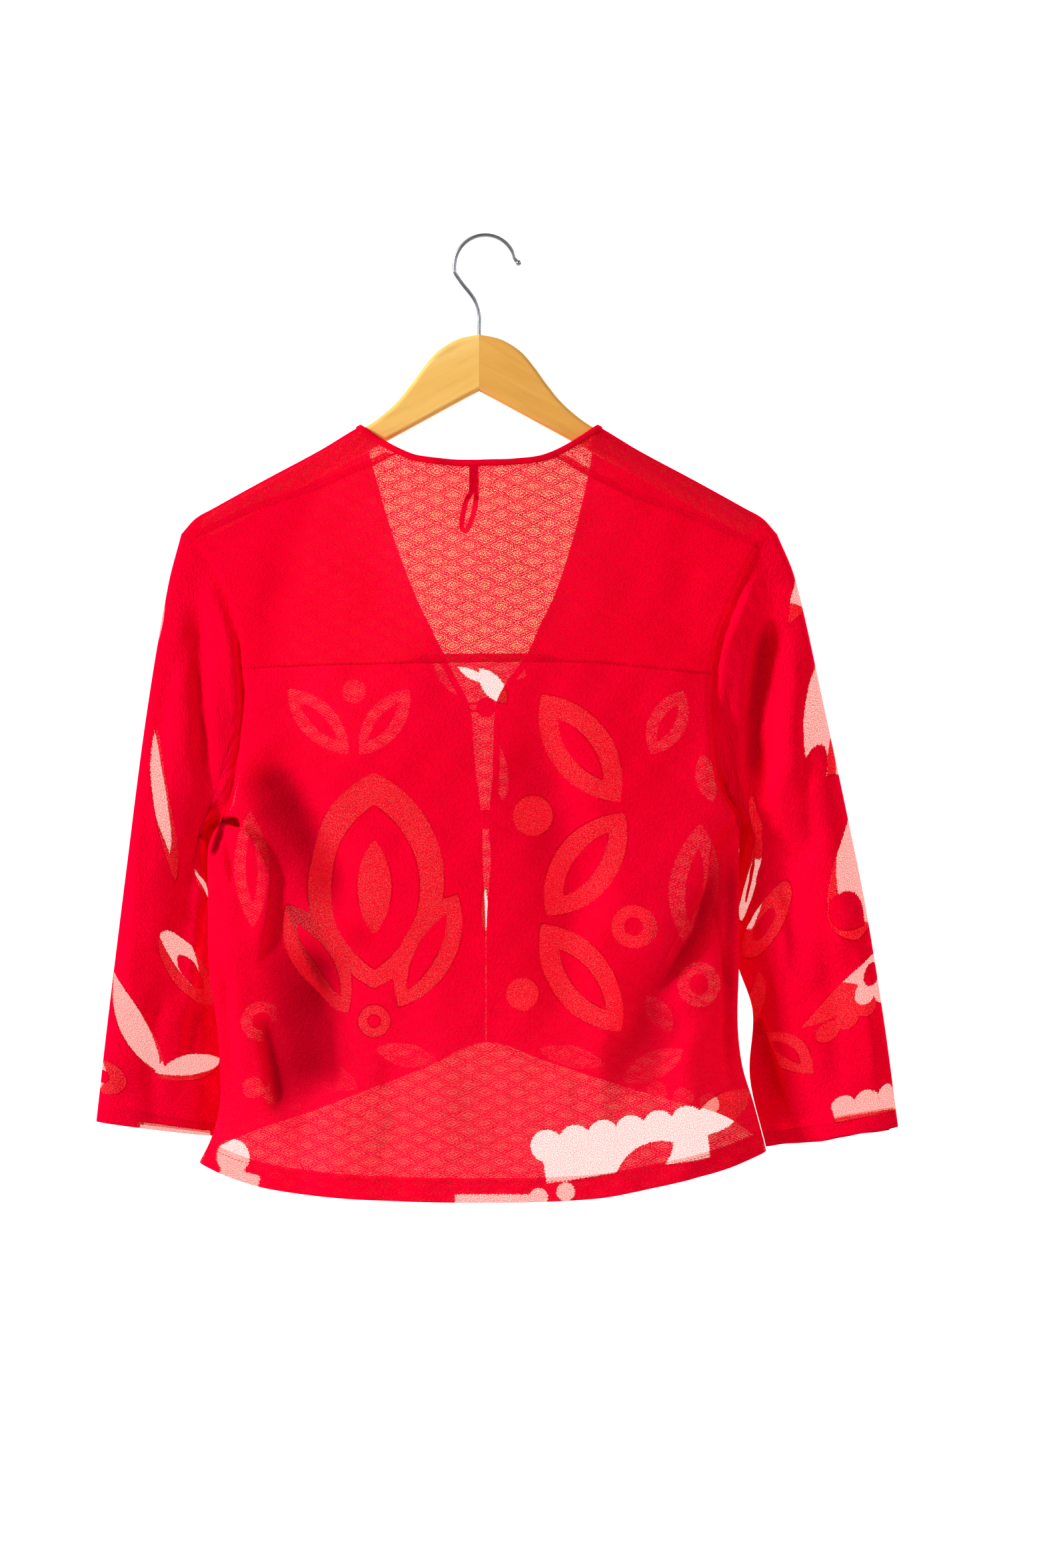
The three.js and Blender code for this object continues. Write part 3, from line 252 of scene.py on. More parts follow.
CREASE_FADE = {"in": 0.22, "out": 0.3}     # shares of a crease over which it rises and dies away
PAINTED_CREASE_SHADE = {"from": 2.0, "to": 24}          # trough depths over which the painted crease shade grows from none to full
# Slow waves that keep any stretch from being quite flat: wave length, slant, height.
RIPPLES = ((61, 0.35, 0.7), (37, -0.6, 0.45), (23, 1.3, 0.22))
RIPPLE_STRETCH = 3.3                       # how much longer the waves are down the cloth


# ---------------------------------------------------------------- small tools

def lerp(a, b, t):
    return a + (b - a) * t


def smooth(t):
    c = np.clip(t, 0, 1)
    return c * c * (3 - 2 * c)


def curve(columns, key, value):
    """Smooth curve through a table: one column as a function of another."""
    order = np.argsort(columns[key])
    k, v = columns[key][order], columns[value][order]
    places = np.arange(len(k))
    low, high = np.maximum(places - 1, 0), np.minimum(places + 1, len(k) - 1)
    slope = (v[high] - v[low]) / (k[high] - k[low])

    def at(x):
        i = np.clip(np.searchsorted(k, x) - 1, 0, len(k) - 2)
        span = k[i + 1] - k[i]
        t = np.clip((x - k[i]) / span, 0, 1)
        return ((2 * t**3 - 3 * t**2 + 1) * v[i] + (t**3 - 2 * t**2 + t) * span * slope[i]
                + (3 * t**2 - 2 * t**3) * v[i + 1] + (t**3 - t**2) * span * slope[i + 1])
    return at


def by_side(columns, key):
    return {side: curve(columns, key, side) for side in SIDES}


shoulder_line = curve(SHOULDER_LINE, "out", "z")
armhole = by_side(PANEL_EDGE, "z")
side_seam = by_side(SIDE_SEAM, "z")
tube_above = by_side(TUBE_ABOVE, "z")
shoulder_seam = by_side(SHOULDER_SEAM, "out")
front_edge = by_side(FRONT_EDGE, "z")
tube_depth = {face: curve(DEPTH, "z", face) for face in FACE}
back_neck = curve(BACK_NECK, "out", "z")
yoke_seam = curve(YOKE_SEAM, "x", "z")
back_hem = curve(BACK_HEM, "x", "z")
front_hem = curve(FRONT_HEM, "x", "z")
sleeve_half = curve(SLEEVE_DEPTH, "s", "half")


def ridge_z(x):
    return shoulder_line(np.abs(x - CENTRE_X))


def panel_edge(side, z):
    """x of a body panel's edge: the armhole, then the side seam."""
    return CENTRE_X + SIGN[side] * np.where(z > UNDERARM_Z, armhole[side](z), side_seam[side](z))


def by_half(x, lines, at):
    """The left or the right line's values, by the side of the middle that x is on."""
    return np.where(x < CENTRE_X, lines["left"](at), lines["right"](at))


def unit(v):
    return v / np.maximum(np.linalg.norm(v, axis=-1, keepdims=True), 1e-12)


def square_to(a, b, toward):
    """Unit directions square to two others, on the side of a third."""
    way = unit(np.cross(a, b))
    return way * np.sign((way * toward).sum(-1, keepdims=True))


def xyz(x, y, z):
    return np.stack(np.broadcast_arrays(x, y, z), -1).astype(float)


def creases(place, x, z):
    """Height of the listed creases and slow ripples, and depth of the trough a place is in."""
    none = np.zeros(np.broadcast(x, z).shape)
    total = trough = none
    for row in CREASES[place].strip().splitlines():
        line, sizes = row.split(":")
        p, (left, right, height) = numbers(line), map(float, sizes.split())
        legs = np.diff(p, axis=0)
        lengths = np.linalg.norm(legs, axis=1)
        far, best, along = none + 1e9, none, none
        for i, (leg, length) in enumerate(zip(legs, lengths)):
            dx, dz = x - p[i, 0], z - p[i, 1]
            inside = np.clip((dx * leg[0] + dz * leg[1]) / length**2, 0, 1)
            gap = np.hypot(dx - inside * leg[0], dz - inside * leg[1])
            across = (dz * leg[0] - dx * leg[1]) / length
            nearer = gap < far
            far = np.where(nearer, gap, far)
            best = np.where(nearer, np.copysign(gap, across), best)
            along = np.where(nearer, (lengths[:i].sum() + inside * length) / lengths.sum(), along)
        width = np.where(best < 0, left, right)
        fade = smooth(along / CREASE_FADE["in"] + 0.05)
        fade = fade * smooth((1 - along) / CREASE_FADE["out"] + 0.02)
        share = fade * np.exp(-((best / width) ** 2))
        total, trough = total + height * share, trough + max(-height, 0) * share
    for length, slant, height in RIPPLES:
        wave = np.sin(2 * np.pi * (x + slant * z) / length)
        total = total + height * wave * np.sin(2 * np.pi * z / (length * RIPPLE_STRETCH))
    return total, trough


def seam_dip(face, x, z):
    """How far the cloth is drawn in along the armholes, the yoke seam and the shoulder seams."""
    def dip(seam, away):
        depth, width = SEAM_DIP[seam]
        return depth * np.exp(-((away / width) ** 2))
    out = np.abs(x - CENTRE_X)
    above = smooth((z - UNDERARM_Z) / DIP_LIMITS["above_underarm"])
    total = dip("armhole", by_half(x, armhole, z) - out) * above
    if face == "back":
        away = shoulder_line(out) - by_half(x, shoulder_seam, out) - z
        total = total + dip("yoke", z - yoke_seam(x))
        total = total + dip("shoulder", away) * (out > DIP_LIMITS["from_middle"])
    return total


# ---------------------------------------------------------------- the body's surface

def fold_height(face, x, z):
    """Height of the body's largest folds."""
    total = 0
    for x1, z1, x2, z2, width, height in BODY_FOLDS[face]:
        dx, dz = x2 - x1, z2 - z1
        length = math.hypot(dx, dz)
        along = ((x - x1) * dx + (z - z1) * dz) / length**2
        across = ((x - x1) * dz - (z - z1) * dx) / length
        fade = smooth(along / FOLD_FADE) * smooth((FOLD_END - along) / FOLD_FADE)
        total = total + height * fade * np.exp(-((across / width) ** 2))
    return total


def tent_squared(drop):
    """Square of the depth over the hanger: a round bend, then an even tent."""
    flat = RIDGE_RADIUS / math.hypot(1, TENT)
    bend_end = RIDGE_RADIUS - TENT * flat
    bend = 2 * RIDGE_RADIUS * drop - drop * drop
    even = (flat + TENT * (drop - bend_end)) ** 2
    return np.where(drop <= 0, 0, np.where(drop < bend_end, bend, even))


def depth_squared(face, x, z):
    half = np.where(z > UNDERARM_Z, by_half(x, tube_above, z), by_half(x, side_seam, z))
    q2 = ((x - CENTRE_X) / half) ** 2
    tube = tube_depth[face](z) ** 2 * np.maximum(1 - q2, 0) * (1 + FULLNESS * q2) ** 2
    tent = tent_squared(ridge_z(x) - z)
    plain = 1 / np.sqrt(1 / np.maximum(tube, 1e-6) ** 2 + 1 / np.maximum(tent, 1e-6) ** 2)
    return plain * (1 + fold_height(face, x, z) / (np.sqrt(plain) + FOLD_EASE)) ** 2


def body_point(face, x, z, proud=0.0):
    """Places on the body's cloth, moved out by `proud`, and the outward normals there."""
    x, z = np.broadcast_arrays(np.asarray(x, float), np.asarray(z, float))
    h, sign = 0.05, FACE[face]
    depth = np.maximum(np.sqrt(depth_squared(face, x, z)), SEAM)
    normal = unit(xyz(
        (depth_squared(face, x - h, z) - depth_squared(face, x + h, z)) / (2 * h),
        2 * depth * sign,
        (depth_squared(face, x, z - h) - depth_squared(face, x, z + h)) / (2 * h)))
    whole = smooth((depth - CREASES_FROM) / (CREASES_WHOLE - CREASES_FROM))
    lift = proud + (creases(face, x, z)[0] - seam_dip(face, x, z)) * whole
    return xyz(x, sign * depth, z) + normal * np.asarray(lift)[..., None], normal


# ---------------------------------------------------------------- neckline and shoulder seams

def neck_place(k, inset):
    """Distance out and height on the back neckline, from the middle (0) to the corner (1)."""
    out = NECK_OUT * np.sin(np.pi / 2 * k)
    slope = (back_neck(out + 0.1) - back_neck(out - 0.1)) / 0.2
    across = unit(np.stack([slope, -np.ones_like(slope)], -1))
    along = unit(np.array([1, -NECK_CORNER["slope"]]))
    turned = smooth((np.asarray(k) - NECK_CORNER["from"]) / (1 - NECK_CORNER["from"]))
    way = unit(lerp(across, along, turned[..., None]))
    return out + inset * way[..., 0], back_neck(out) + inset * way[..., 1]


def find_share(test):
    """Share of the neckline at which a test turns from false to true."""
    low, high = 0.3, 1.0
    for _ in range(40):
        middle = (low + high) / 2
        low, high = (low, middle) if test(middle) else (middle, high)
    return high


def meet(side, line, start):
    """Height at which a line across the body meets a panel's edge."""
    z = start
    for _ in range(40):
        z = lerp(z, line(panel_edge(side, z)), 0.5)
    return float(z)


def seam_z(side, out):
    return shoulder_line(out) - shoulder_seam[side](out)


def seam_end(side):
    """Where the shoulder seam meets the neckline and the armhole."""
    def above(k):
        out, z = neck_place(k, inset)
        return z > seam_z(side, out)
    inset = BINDING["width"] + 0.3
    share = find_share(above)
    armhole_z = meet(side, lambda x: seam_z(side, np.abs(x - CENTRE_X)), -230)
    return {"share": share, "neck_out": float(neck_place(share, inset)[0]), "armhole_z": armhole_z,
            "armhole_out": abs(float(panel_edge(side, armhole_z)) - CENTRE_X)}


seam_ends = {side: seam_end(side) for side in SIDES}
COLUMNS = {"yoke neck": 26, "seam": 96, "back": 300}
ROWS = {"yoke": 66, "back": 230, "wrap": 20, "front": 210, "sleeve": 210}
# Closer rows over the shoulder's ridge and beside the armhole, as shares down the panel.
RIDGE_ROWS = (0, 0.0012, 0.003, 0.0055, 0.0085, 0.013, 0.018, 0.024)
CAP_ROWS = (0, 0.003, 0.007, 0.012, 0.018, 0.025)
# How far the hidden edges lie inside the cloth that covers them.
INSIDE = {"yoke top": -0.7, "yoke foot": -0.4, "lower back": -0.8, "its seam": -0.3}
PRESSED = np.array([0.3, 0.65, 1])      # rows of an allowance that is pressed up inside a seam
PRESSED_OVER, PRESSED_LEAST = (62, 20), 0.25    # where it is deep, and its share elsewhere
UNDER = {"back": 0.3, "front": 0.46}    # share of a panel's length that is above the underarm


def crowded(n):
    """Shares from 0 to 1, closer together near 1."""
    return np.sin(np.pi / 2 * np.linspace(0, 1, n))


def seam_outs(side):
    ends = seam_ends[side]
    return lerp(ends["neck_out"], ends["armhole_out"], crowded(COLUMNS["seam"]))


# ---------------------------------------------------------------- panels as grids

def join_halves(left, right):
    """Rows from the left edge to the right one, from two halves that start in the middle."""
    return [np.r_[a[::-1], b[1:]] for a, b in zip(left, right)]


def rows_down(length, count, first, first_proud=0.0):
    """Shares down a panel, and moves outward, of its first rows, even rows and turned-up edge."""
    bend = np.linspace(0, np.pi, 9)
    up = np.linspace(0, HEM_TURN, 9)[1:]
    turned = np.r_[1 - HEM_ROUND * (1 - np.sin(bend)) / length, 1 - (HEM_ROUND + up) / length]
    inward = np.r_[-HEM_ROUND * (1 - np.cos(bend)), np.full(len(up), -2 * HEM_ROUND)]
    *near, start = first
    even = np.linspace(start, turned[0], count)[:-1]
    proud = np.r_[np.zeros(len(near)) + first_proud, np.zeros(len(even)), inward]
    return np.r_[near, even, turned][:, None], proud[:, None]


def yoke_top(side):
    """Top edge of half the yoke, its cloth hidden under the binding or the shoulder seam."""
    k = np.linspace(0, seam_ends[side]["share"], COLUMNS["yoke neck"])[:-1]
    neck_out, neck_z = neck_place(k, BINDING["cover"])
    outs = seam_outs(side)
    under = ALLOWANCE * smooth((outs - outs[0]) / 9)
    out = np.r_[neck_out, outs]
    corner_z = neck_place(seam_ends[side]["share"], BINDING["cover"])[1]
    z = np.r_[neck_z, lerp(corner_z, seam_z(side, outs), smooth((outs - outs[0]) / 3))]
    return CENTRE_X + SIGN[side] * out, z, np.r_[np.zeros(len(k)), under]


def pressed_up(x, shares):
    """Height of the yoke seam's allowance above the seam: deepest across the V."""
    edge, fade = PRESSED_OVER
    return ALLOWANCE * shares[:, None] * lerp(PRESSED_LEAST, 1, smooth((edge - np.abs(x)) / fade))


def back_yoke():
    """The yoke from under the shoulder seams down to its foot, whose edge is pressed up inside."""
    x0, z0, under = join_halves(yoke_top("left"), yoke_top("right"))
    share = (x0 - x0[0]) / (x0[-1] - x0[0])
    tucked, rows = np.array([1, 0.75, 0.5, 0.25]), ROWS["yoke"]
    up = 1 - ALLOWANCE / YOKE_LENGTH * PRESSED
    v = np.r_[np.zeros(4), np.linspace(0, 0.996, rows), 1, 1, up][:, None]
    raised = np.r_[tucked, np.zeros(rows + 5)][:, None]
    proud = np.r_[[INSIDE["yoke top"]] * 4, np.zeros(rows + 1), [INSIDE["yoke foot"]] * 4][:, None]
    edges = []
    for side in SIDES:
        top, foot = seam_ends[side]["armhole_z"], meet(side, yoke_seam, -325)
        edges.append(panel_edge(side, lerp(top, foot, v)))
    x = lerp(*edges, share)
    z = lerp(z0, yoke_seam(x), v) + raised * under
    z[-3:] = yoke_seam(x[-3:]) + pressed_up(x[-3:], PRESSED)
    return body_point("back", x, z, proud), (x, z), creases("back", x, z)[1]


def edge_height(top, foot, under, v):
    return np.where(v < under, lerp(top, UNDERARM_Z, v / under),
                    lerp(UNDERARM_Z, foot, (v - under) / (1 - under)))


def lower_back():
    ends = {side: (meet(side, yoke_seam, -325), meet(side, back_hem, -690)) for side in SIDES}
    rise = np.linspace(-ALLOWANCE, 0, 4)[:-1] / BACK_LENGTH
    first_proud = [INSIDE["lower back"]] * 3 + [INSIDE["its seam"]]
    v, proud = rows_down(BACK_LENGTH, ROWS["back"], [*rise, 0, 0.0012], first_proud)
    share = (1 - np.cos(np.pi * np.linspace(0, 1, COLUMNS["back"]))) / 2

    def across(v):
        z = {s: edge_height(*ends[s], UNDER["back"], v) for s in SIDES}
        x = lerp(panel_edge("left", z["left"]), panel_edge("right", z["right"]), share)
        return x, lerp(z["left"], z["right"], share)
    top_x, top_z = across(0.0)
    foot_x, foot_z = across(1.0)
    x, z = across(v)
    z = z + (yoke_seam(top_x) - top_z) * (1 - v) ** 2 + (back_hem(foot_x) - foot_z) * v**2
    z[:3] = yoke_seam(x[:3]) + pressed_up(x[:3], PRESSED[::-1])
    trough = creases("back", x, z)[1] - np.minimum(fold_height("back", x, z), 0)
    return body_point("back", x, z, proud), (x, z), trough


FRONT_TOP = {"neck": float(shoulder_line(NECK_OUT)), "tip": float(shoulder_line(TIP_OUT))}
front_foot = {side: meet(side, front_hem, -688) for side in SIDES}


def front_place(side, u, v, inset):
    """x and z in a front panel's outline, for shares across and down."""
    def row(share):
        z_edge = lerp(FRONT_TOP["neck"], front_hem(0.0), share)
        z_side = edge_height(FRONT_TOP["tip"], front_foot[side], UNDER["front"], share)
        lean = lerp(EDGE_LEAN["share"], 1, smooth(share / EDGE_LEAN["until"]))
        x_edge = front_edge[side](z_edge) + SIGN[side] * inset * lean
        return lerp(x_edge, panel_edge(side, z_side), u), lerp(z_edge, z_side, u)
    top_x, top_z = row(np.asarray(0.0))
    foot_x, foot_z = row(np.asarray(1.0))
    x, z = row(np.asarray(v, float))
    return x, z + (ridge_z(top_x) - top_z) * (1 - v) ** 6 + (front_hem(foot_x) - foot_z) * v**4


def neck_share(side, share, inset):
    """Share of the neckline where its inner edge is a share of the seam's drop below the ridge."""
    start, neck_out = seam_ends[side]["share"], seam_ends[side]["neck_out"]
    drop = float(shoulder_seam[side](neck_out))

    def test(at):
        out, z = neck_place(at, inset)
        return at > start and shoulder_line(out) - z < drop * share
    return find_share(test)


def wrap_row(side, share):
    """One row of the strip over the shoulder: 1 at the seam behind, 0 on the ridge."""
    ends, inset = seam_ends[side], BINDING["cover"]
    top_out = abs(float(front_place(side, 0.0, 0.0, inset)[0]) - CENTRE_X)
    neck_out, _ = neck_place(neck_share(side, min(share, 1), inset), inset)
    climb = (neck_out - ends["neck_out"]) / (top_out - ends["neck_out"])
    edge_z = lerp(FRONT_TOP["tip"], ends["armhole_z"], share)
    edge_out = abs(float(panel_edge(side, edge_z)) - CENTRE_X)
    feet, u = seam_outs(side), crowded(COLUMNS["seam"])
    out = lerp(feet, lerp(top_out, TIP_OUT, u), climb)
    out[0] = neck_out
    z = shoulder_line(out) - shoulder_seam[side](feet) * share
    pull = u**8
    out, z = out + (edge_out - out[-1]) * pull, z + (edge_z - z[-1]) * pull
    return CENTRE_X + SIGN[side] * out, z


def front(side):
    """A front panel with the strip that comes over the shoulder to the seam behind."""
    shares = 1 - crowded(ROWS["wrap"])[:-1]
    behind = np.array([wrap_row(side, share) for share in shares])
    places = [body_point("back", behind[:, 0], behind[:, 1])]
    v, proud = rows_down(FRONT_LENGTH, ROWS["front"], RIDGE_ROWS)
    x, z = front_place(side, crowded(COLUMNS["seam"]), v, BINDING["cover"])
    places.append(body_point("front", x, z, proud))
    point, normal = (np.concatenate([a, b]) for a, b in zip(*places))
    trough = creases("front", x, z)[1] - np.minimum(fold_height("front", x, z), 0)
    over_x, over_z = behind[:, 0], behind[:, 1]
    coords = np.r_[over_x, x], np.r_[2 * ridge_z(over_x) - over_z, z]
    return (point, normal), coords, np.r_[np.zeros_like(over_x), trough]


# ---------------------------------------------------------------- sleeves

def turn_share(turn):
    """Share of the way from the shoulder to the underarm, for a turn round the sleeve."""
    return (1 - np.cos(2 * np.pi * turn)) / 2


def rising(what, share):
    start, width = SLEEVE_FADE[what]
    return smooth((share - start) / width)


def armhole_loop(side, turn):
    """The armhole seam: 0 at the shoulder tip, half a turn either way at the underarm."""
    share = turn_share(turn)
    z = lerp(FRONT_TOP["tip"], UNDERARM_Z, share)
    x = CENTRE_X + SIGN[side] * armhole[side](z)
    point = np.where((turn >= 0)[..., None], *(body_point(face, x, z)[0] for face in FACE))
    point[..., 0] += SIGN[side] * UNDERARM_CLEAR * rising("clear", share)
    return point


def sleeve_tube(side, s, turn):
    edge = {c: curve(SLEEVES[side], "s", c)(s) for c in "ox oy oz ix iy iz".split()}
    outer, inner = xyz(edge["ox"], edge["oy"], edge["oz"]), xyz(edge["ix"], edge["iy"], edge["iz"])
    share = turn_share(turn)
    half = sleeve_half(s)
    past, fall = SLEEVE_FADE["fold_out"]
    for at, s1, s2, width, height in SLEEVE_FOLDS[side]:
        fade = smooth((s - s1) / SLEEVE_FADE["fold_in"]) * smooth((s2 + past - s) / fall)
        half = half + height * fade * np.exp(-(((turn % 1 - at) / width) ** 2))
    half = half * np.where(turn >= 0, 1 - FLAT_BEHIND * rising("flat", share), 1)
    point = lerp(outer, inner, share[..., None])
    point[..., 1] -= half * np.sin(2 * np.pi * turn)
    return point


def sleeve_plain(side, s, turn):
    fade = lerp(CAP_FADE["top"], CAP_FADE["underarm"], rising("cap", turn_share(turn)))
    keep = 1 - smooth(s / fade)
    cap = armhole_loop(side, turn) - sleeve_tube(side, 0 * s, turn)
    return sleeve_tube(side, s, turn) + cap * keep[..., None]


def sleeve_creases(side, x, z, which):
    """Heights (0) or troughs (1) of the creases behind and in front."""
    return [creases(f"{side} sleeve {face}", x, z)[which] for face in FACE]


def sleeve_point(side, s, turn, proud=0.0):
    """Places on a sleeve and its outward normals, for a share down and a turn round."""
    s, turn = np.broadcast_arrays(np.asarray(s, float), np.asarray(turn, float))
    h = 0.003
    point = sleeve_plain(side, s, turn)
    down = sleeve_plain(side, s + h, turn) - point
    around = sleeve_plain(side, s, turn + h) - sleeve_plain(side, s, turn - h)
    normal = unit(np.cross(around, down) * SIGN[side])
    x, z = point[..., 0], point[..., 2]
    crease = np.where(turn >= 0, *sleeve_creases(side, x, z, 0))
    from_seam = np.maximum(SIGN[side] * (x - CENTRE_X) - armhole[side](z), 0)
    roll = SLEEVE_ROLL["height"] * (1 - np.exp(-from_seam / SLEEVE_ROLL["rise"]))
    roll = roll * np.exp(-from_seam / SLEEVE_ROLL["fall"])
    share = turn_share(turn)
    roll = roll * smooth((z - UNDERARM_Z) / SLEEVE_FADE["roll_height"]) * rising("roll", share)
    edge = smooth(share * (1 - share) * 9) * smooth(s / SLEEVE_FADE["creases"])
    lift = (crease + roll) * edge + proud
    return point + normal * lift[..., None], normal


SLEEVE_TURNS = np.linspace(-0.5, 0.5, 241)      # underarm, front, top, back, underarm


def sleeve(side):
    s, proud = rows_down(SLEEVE_LENGTH, ROWS["sleeve"], CAP_ROWS)
    point, normal = sleeve_point(side, s, SLEEVE_TURNS, proud)
    steps = np.hypot(np.diff(point[..., 0], axis=1), np.diff(point[..., 1], axis=1))
    around = np.c_[np.zeros(len(s)), np.cumsum(steps, axis=1)]
    around -= around[:, [len(SLEEVE_TURNS) // 2]]
    x, z = point[..., 0], point[..., 2]
    trough = np.where(SLEEVE_TURNS >= 0, *sleeve_creases(side, x, z, 1))
    return (point, normal), (around, -SLEEVE_LENGTH * s + 0 * around), trough


# ---------------------------------------------------------------- the burnt-out ornament

def disc(x, z, cx, cz, radius):
    return radius - np.hypot(x - cx, z - cz)


def from_middle(x, z, x1, z1, x2, z2):
    """Half a line's length, and distances along and across it from its middle."""
    dx, dz = x2 - x1, z2 - z1
    half = math.hypot(dx, dz) / 2
    mx, mz = x - (x1 + x2) / 2, z - (z1 + z2) / 2
    return half, np.abs(mx * dx + mz * dz) / (2 * half), np.abs(mx * dz - mz * dx) / (2 * half)


def petal(x, z, *line_and_width):
    """A pointed oval between two tips."""
    *line, width = line_and_width
    half, along, across = from_middle(x, z, *line)
    radius = (half**2 + (width / 2) ** 2) / width
    return radius - np.hypot(along, across + radius - width / 2)


def band(x, z, *line_and_width):
    """A straight band with square ends."""
    *line, width = line_and_width
    half, along, across = from_middle(x, z, *line)
    return np.minimum(half - along, width / 2 - across)


def beads(x, z, x1, z1, x2, z2, radius, count):
    """A row of touching discs: a scalloped edge."""
    t = np.linspace(0, 1, int(count))
    return np.max([disc(x, z, lerp(x1, x2, a), lerp(z1, z2, a), radius) for a in t], axis=0)


MOTIFS = {"disc": disc, "petal": petal, "band": band, "beads": beads}
UNBURNT = -30.0         # distance inside a shape that stands for "far from any"
# Shapes in the order they are laid: burnt away (+) or left whole again (-).
ORNAMENT = {
    "back": """
        +petal -82 -402 -82 -562 104, -petal -82 -426 -82 -548 68, +petal -82 -452 -82 -522 26,
        +petal -148 -500 -102 -580 40, -petal -140 -514 -108 -568 16,
        +petal -20 -492 -64 -576 40, -petal -28 -506 -58 -564 16, +disc -82 -586 12,
        -disc -82 -586 5, +petal 42 -344 100 -424 46, -petal 54 -362 88 -408 17,
        +petal 104 -432 46 -508 46, -petal 92 -446 58 -494 17, +petal 42 -514 100 -594 46,
        -petal 54 -532 90 -578 17, +disc 36 -434 15, +disc 110 -516 16, -disc 110 -516 7,
        +disc 28 -566 12, +petal 0 -486 0 -522 5, +petal -4 -325 16 -351 15,
        +petal -20 -324 2 -335 7, +band 44 -694 166 -676 24, +beads 46 -678 150 -661 12 6,
        +petal 150 -670 200 -640 24, -petal 96 -706 140 -676 24, +disc -188 -688 13,
        +band -198 -700 -168 -708 13, +band -22 -722 34 -722 17, +beads 40 -716 60 -712 7 2""",
    "front": """
        +petal -150 -338 -104 -388 28, -petal -142 -348 -112 -378 10,
        +petal -58 -338 -96 -388 28, -petal -66 -348 -90 -378 10, +disc -100 -340 9,
        +petal -178 -430 -176 -520 26, -petal -178 -448 -176 -502 9, +disc -170 -590 15,
        -disc -170 -590 7, +petal -146 -620 -96 -642 20, +petal -84 -612 -36 -622 18,
        +beads -176 -640 -146 -650 8 3, +petal 164 -440 152 -534 36, -petal 162 -458 154 -516 13,
        +disc 162 -562 17, -disc 162 -562 8, +petal 150 -612 104 -636 22,
        +petal 92 -624 40 -612 16, +petal 140 -598 124 -570 16, +beads 130 -644 170 -652 8 3,
        +petal 9 -378 14 -426 11, +petal 150 -340 126 -388 28, -petal 146 -350 130 -378 10,
        +petal 164 -388 172 -424 18, +petal -40 -318 -8 -346 16, +band 8 -331 30 -324 10""",
    "left sleeve": """
        +petal 14 -128 40 -196 20, +petal -12 -132 -38 -190 18, +disc 62 -150 9,
        +disc -58 -152 10, +petal 0 -44 2 -84 12, +disc 62 -262 26, -disc 62 -262 12,
        +petal -30 -210 -66 -280 34, +petal 2 -312 50 -382 26, +petal -2 -312 -50 -382 26,
        +petal 46 -384 96 -336 24, +petal -46 -384 -96 -340 22, +disc 8 -398 15, -disc 4 -398 6,
        +band 34 -438 92 -438 9, +band -96 -438 -40 -438 9, +petal 92 -200 108 -250 16,
        +petal 84 -90 98 -150 18""",
    "right sleeve": """
        +petal -24 -30 18 -62 20, +petal 4 -96 -8 -176 52, -disc 26 -150 15,
        -petal -2 -146 -14 -176 12, +petal -8 -200 14 -282 58, -petal 30 -236 8 -276 20,
        +petal -34 -306 66 -322 27, +beads -16 -324 48 -338 9 5, -disc 8 -312 8,
        +band -72 -419 50 -419 13, +beads -64 -410 42 -410 9 7, +disc 76 -196 23,
        -disc 76 -196 10, +petal 64 -96 92 -160 26, -petal 70 -110 86 -146 8,
        +petal 62 -372 102 -300 28, -petal 70 -358 92 -316 10, +petal -70 -120 -84 -190 24,
        +petal 88 -232 104 -282 20""",
}


def burnt(place, x, z):
    """Distance inside the burnt-out shapes, in mm: positive where the cloth is sheer."""
    inside = np.full(np.broadcast(x, z).shape, UNBURNT)
    for row in ORNAMENT[place].split(","):
        kind, *sizes = row.split()
        shape = MOTIFS[kind[1:]](x, z, *map(float, sizes))
        inside = np.maximum(inside, shape) if kind[0] == "+" else np.minimum(inside, -shape)
    return inside


# ---------------------------------------------------------------- meshes

def mesh_object(name, points, faces, look, sharp=None):
    """A smooth-shaded piece from places in mm, sharp where faces turn by over `sharp` degrees."""
    mesh = bpy.data.meshes.new(name)
    mesh.from_pydata((np.reshape(points, (-1, 3)) * MM).tolist(), [], faces)
    mesh.polygons.foreach_set("use_smooth", np.ones(len(mesh.polygons), bool))
    if sharp:
        mesh.set_sharp_from_angle(angle=math.radians(sharp))
    mesh.materials.append(LOOKS[look])
    piece = bpy.data.objects.new(name, mesh)
    bpy.context.scene.collection.objects.link(piece)
    return piece


def keep(piece, slot, *nodes):
    """A finished piece: it rides on the only body and stands for its solids."""
    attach(piece, "root")
    if nodes:
        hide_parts(*nodes)
    return piece


def grid_faces(rows, columns, around=False):
    index = np.arange(rows * columns).reshape(rows, columns)
    if around:
        index = np.c_[index, index[:, 0]]
    corners = index[:-1, :-1], index[1:, :-1], index[1:, 1:], index[:-1, 1:]
    return np.stack(corners, -1).reshape(-1, 4)


def closed_faces(rows, columns):
    """Faces of a closed skin over rings of points, with one flat face on each end."""
    ends = [[*range(columns)], [*range((rows - 1) * columns, rows * columns)][::-1]]
    return grid_faces(rows, columns, True).tolist() + ends


def outward(points, normals, faces):
    """The faces, turned so that they look along the normals."""
    p, n = points.reshape(-1, 3), normals.reshape(-1, 3)
    a, b, c = (p[faces[:, i]] for i in (0, 1, 2))
    turned = (np.cross(b - a, c - a) * n[faces[:, 0]]).sum(1).sum() < 0
    return faces[:, ::-1] if turned else faces


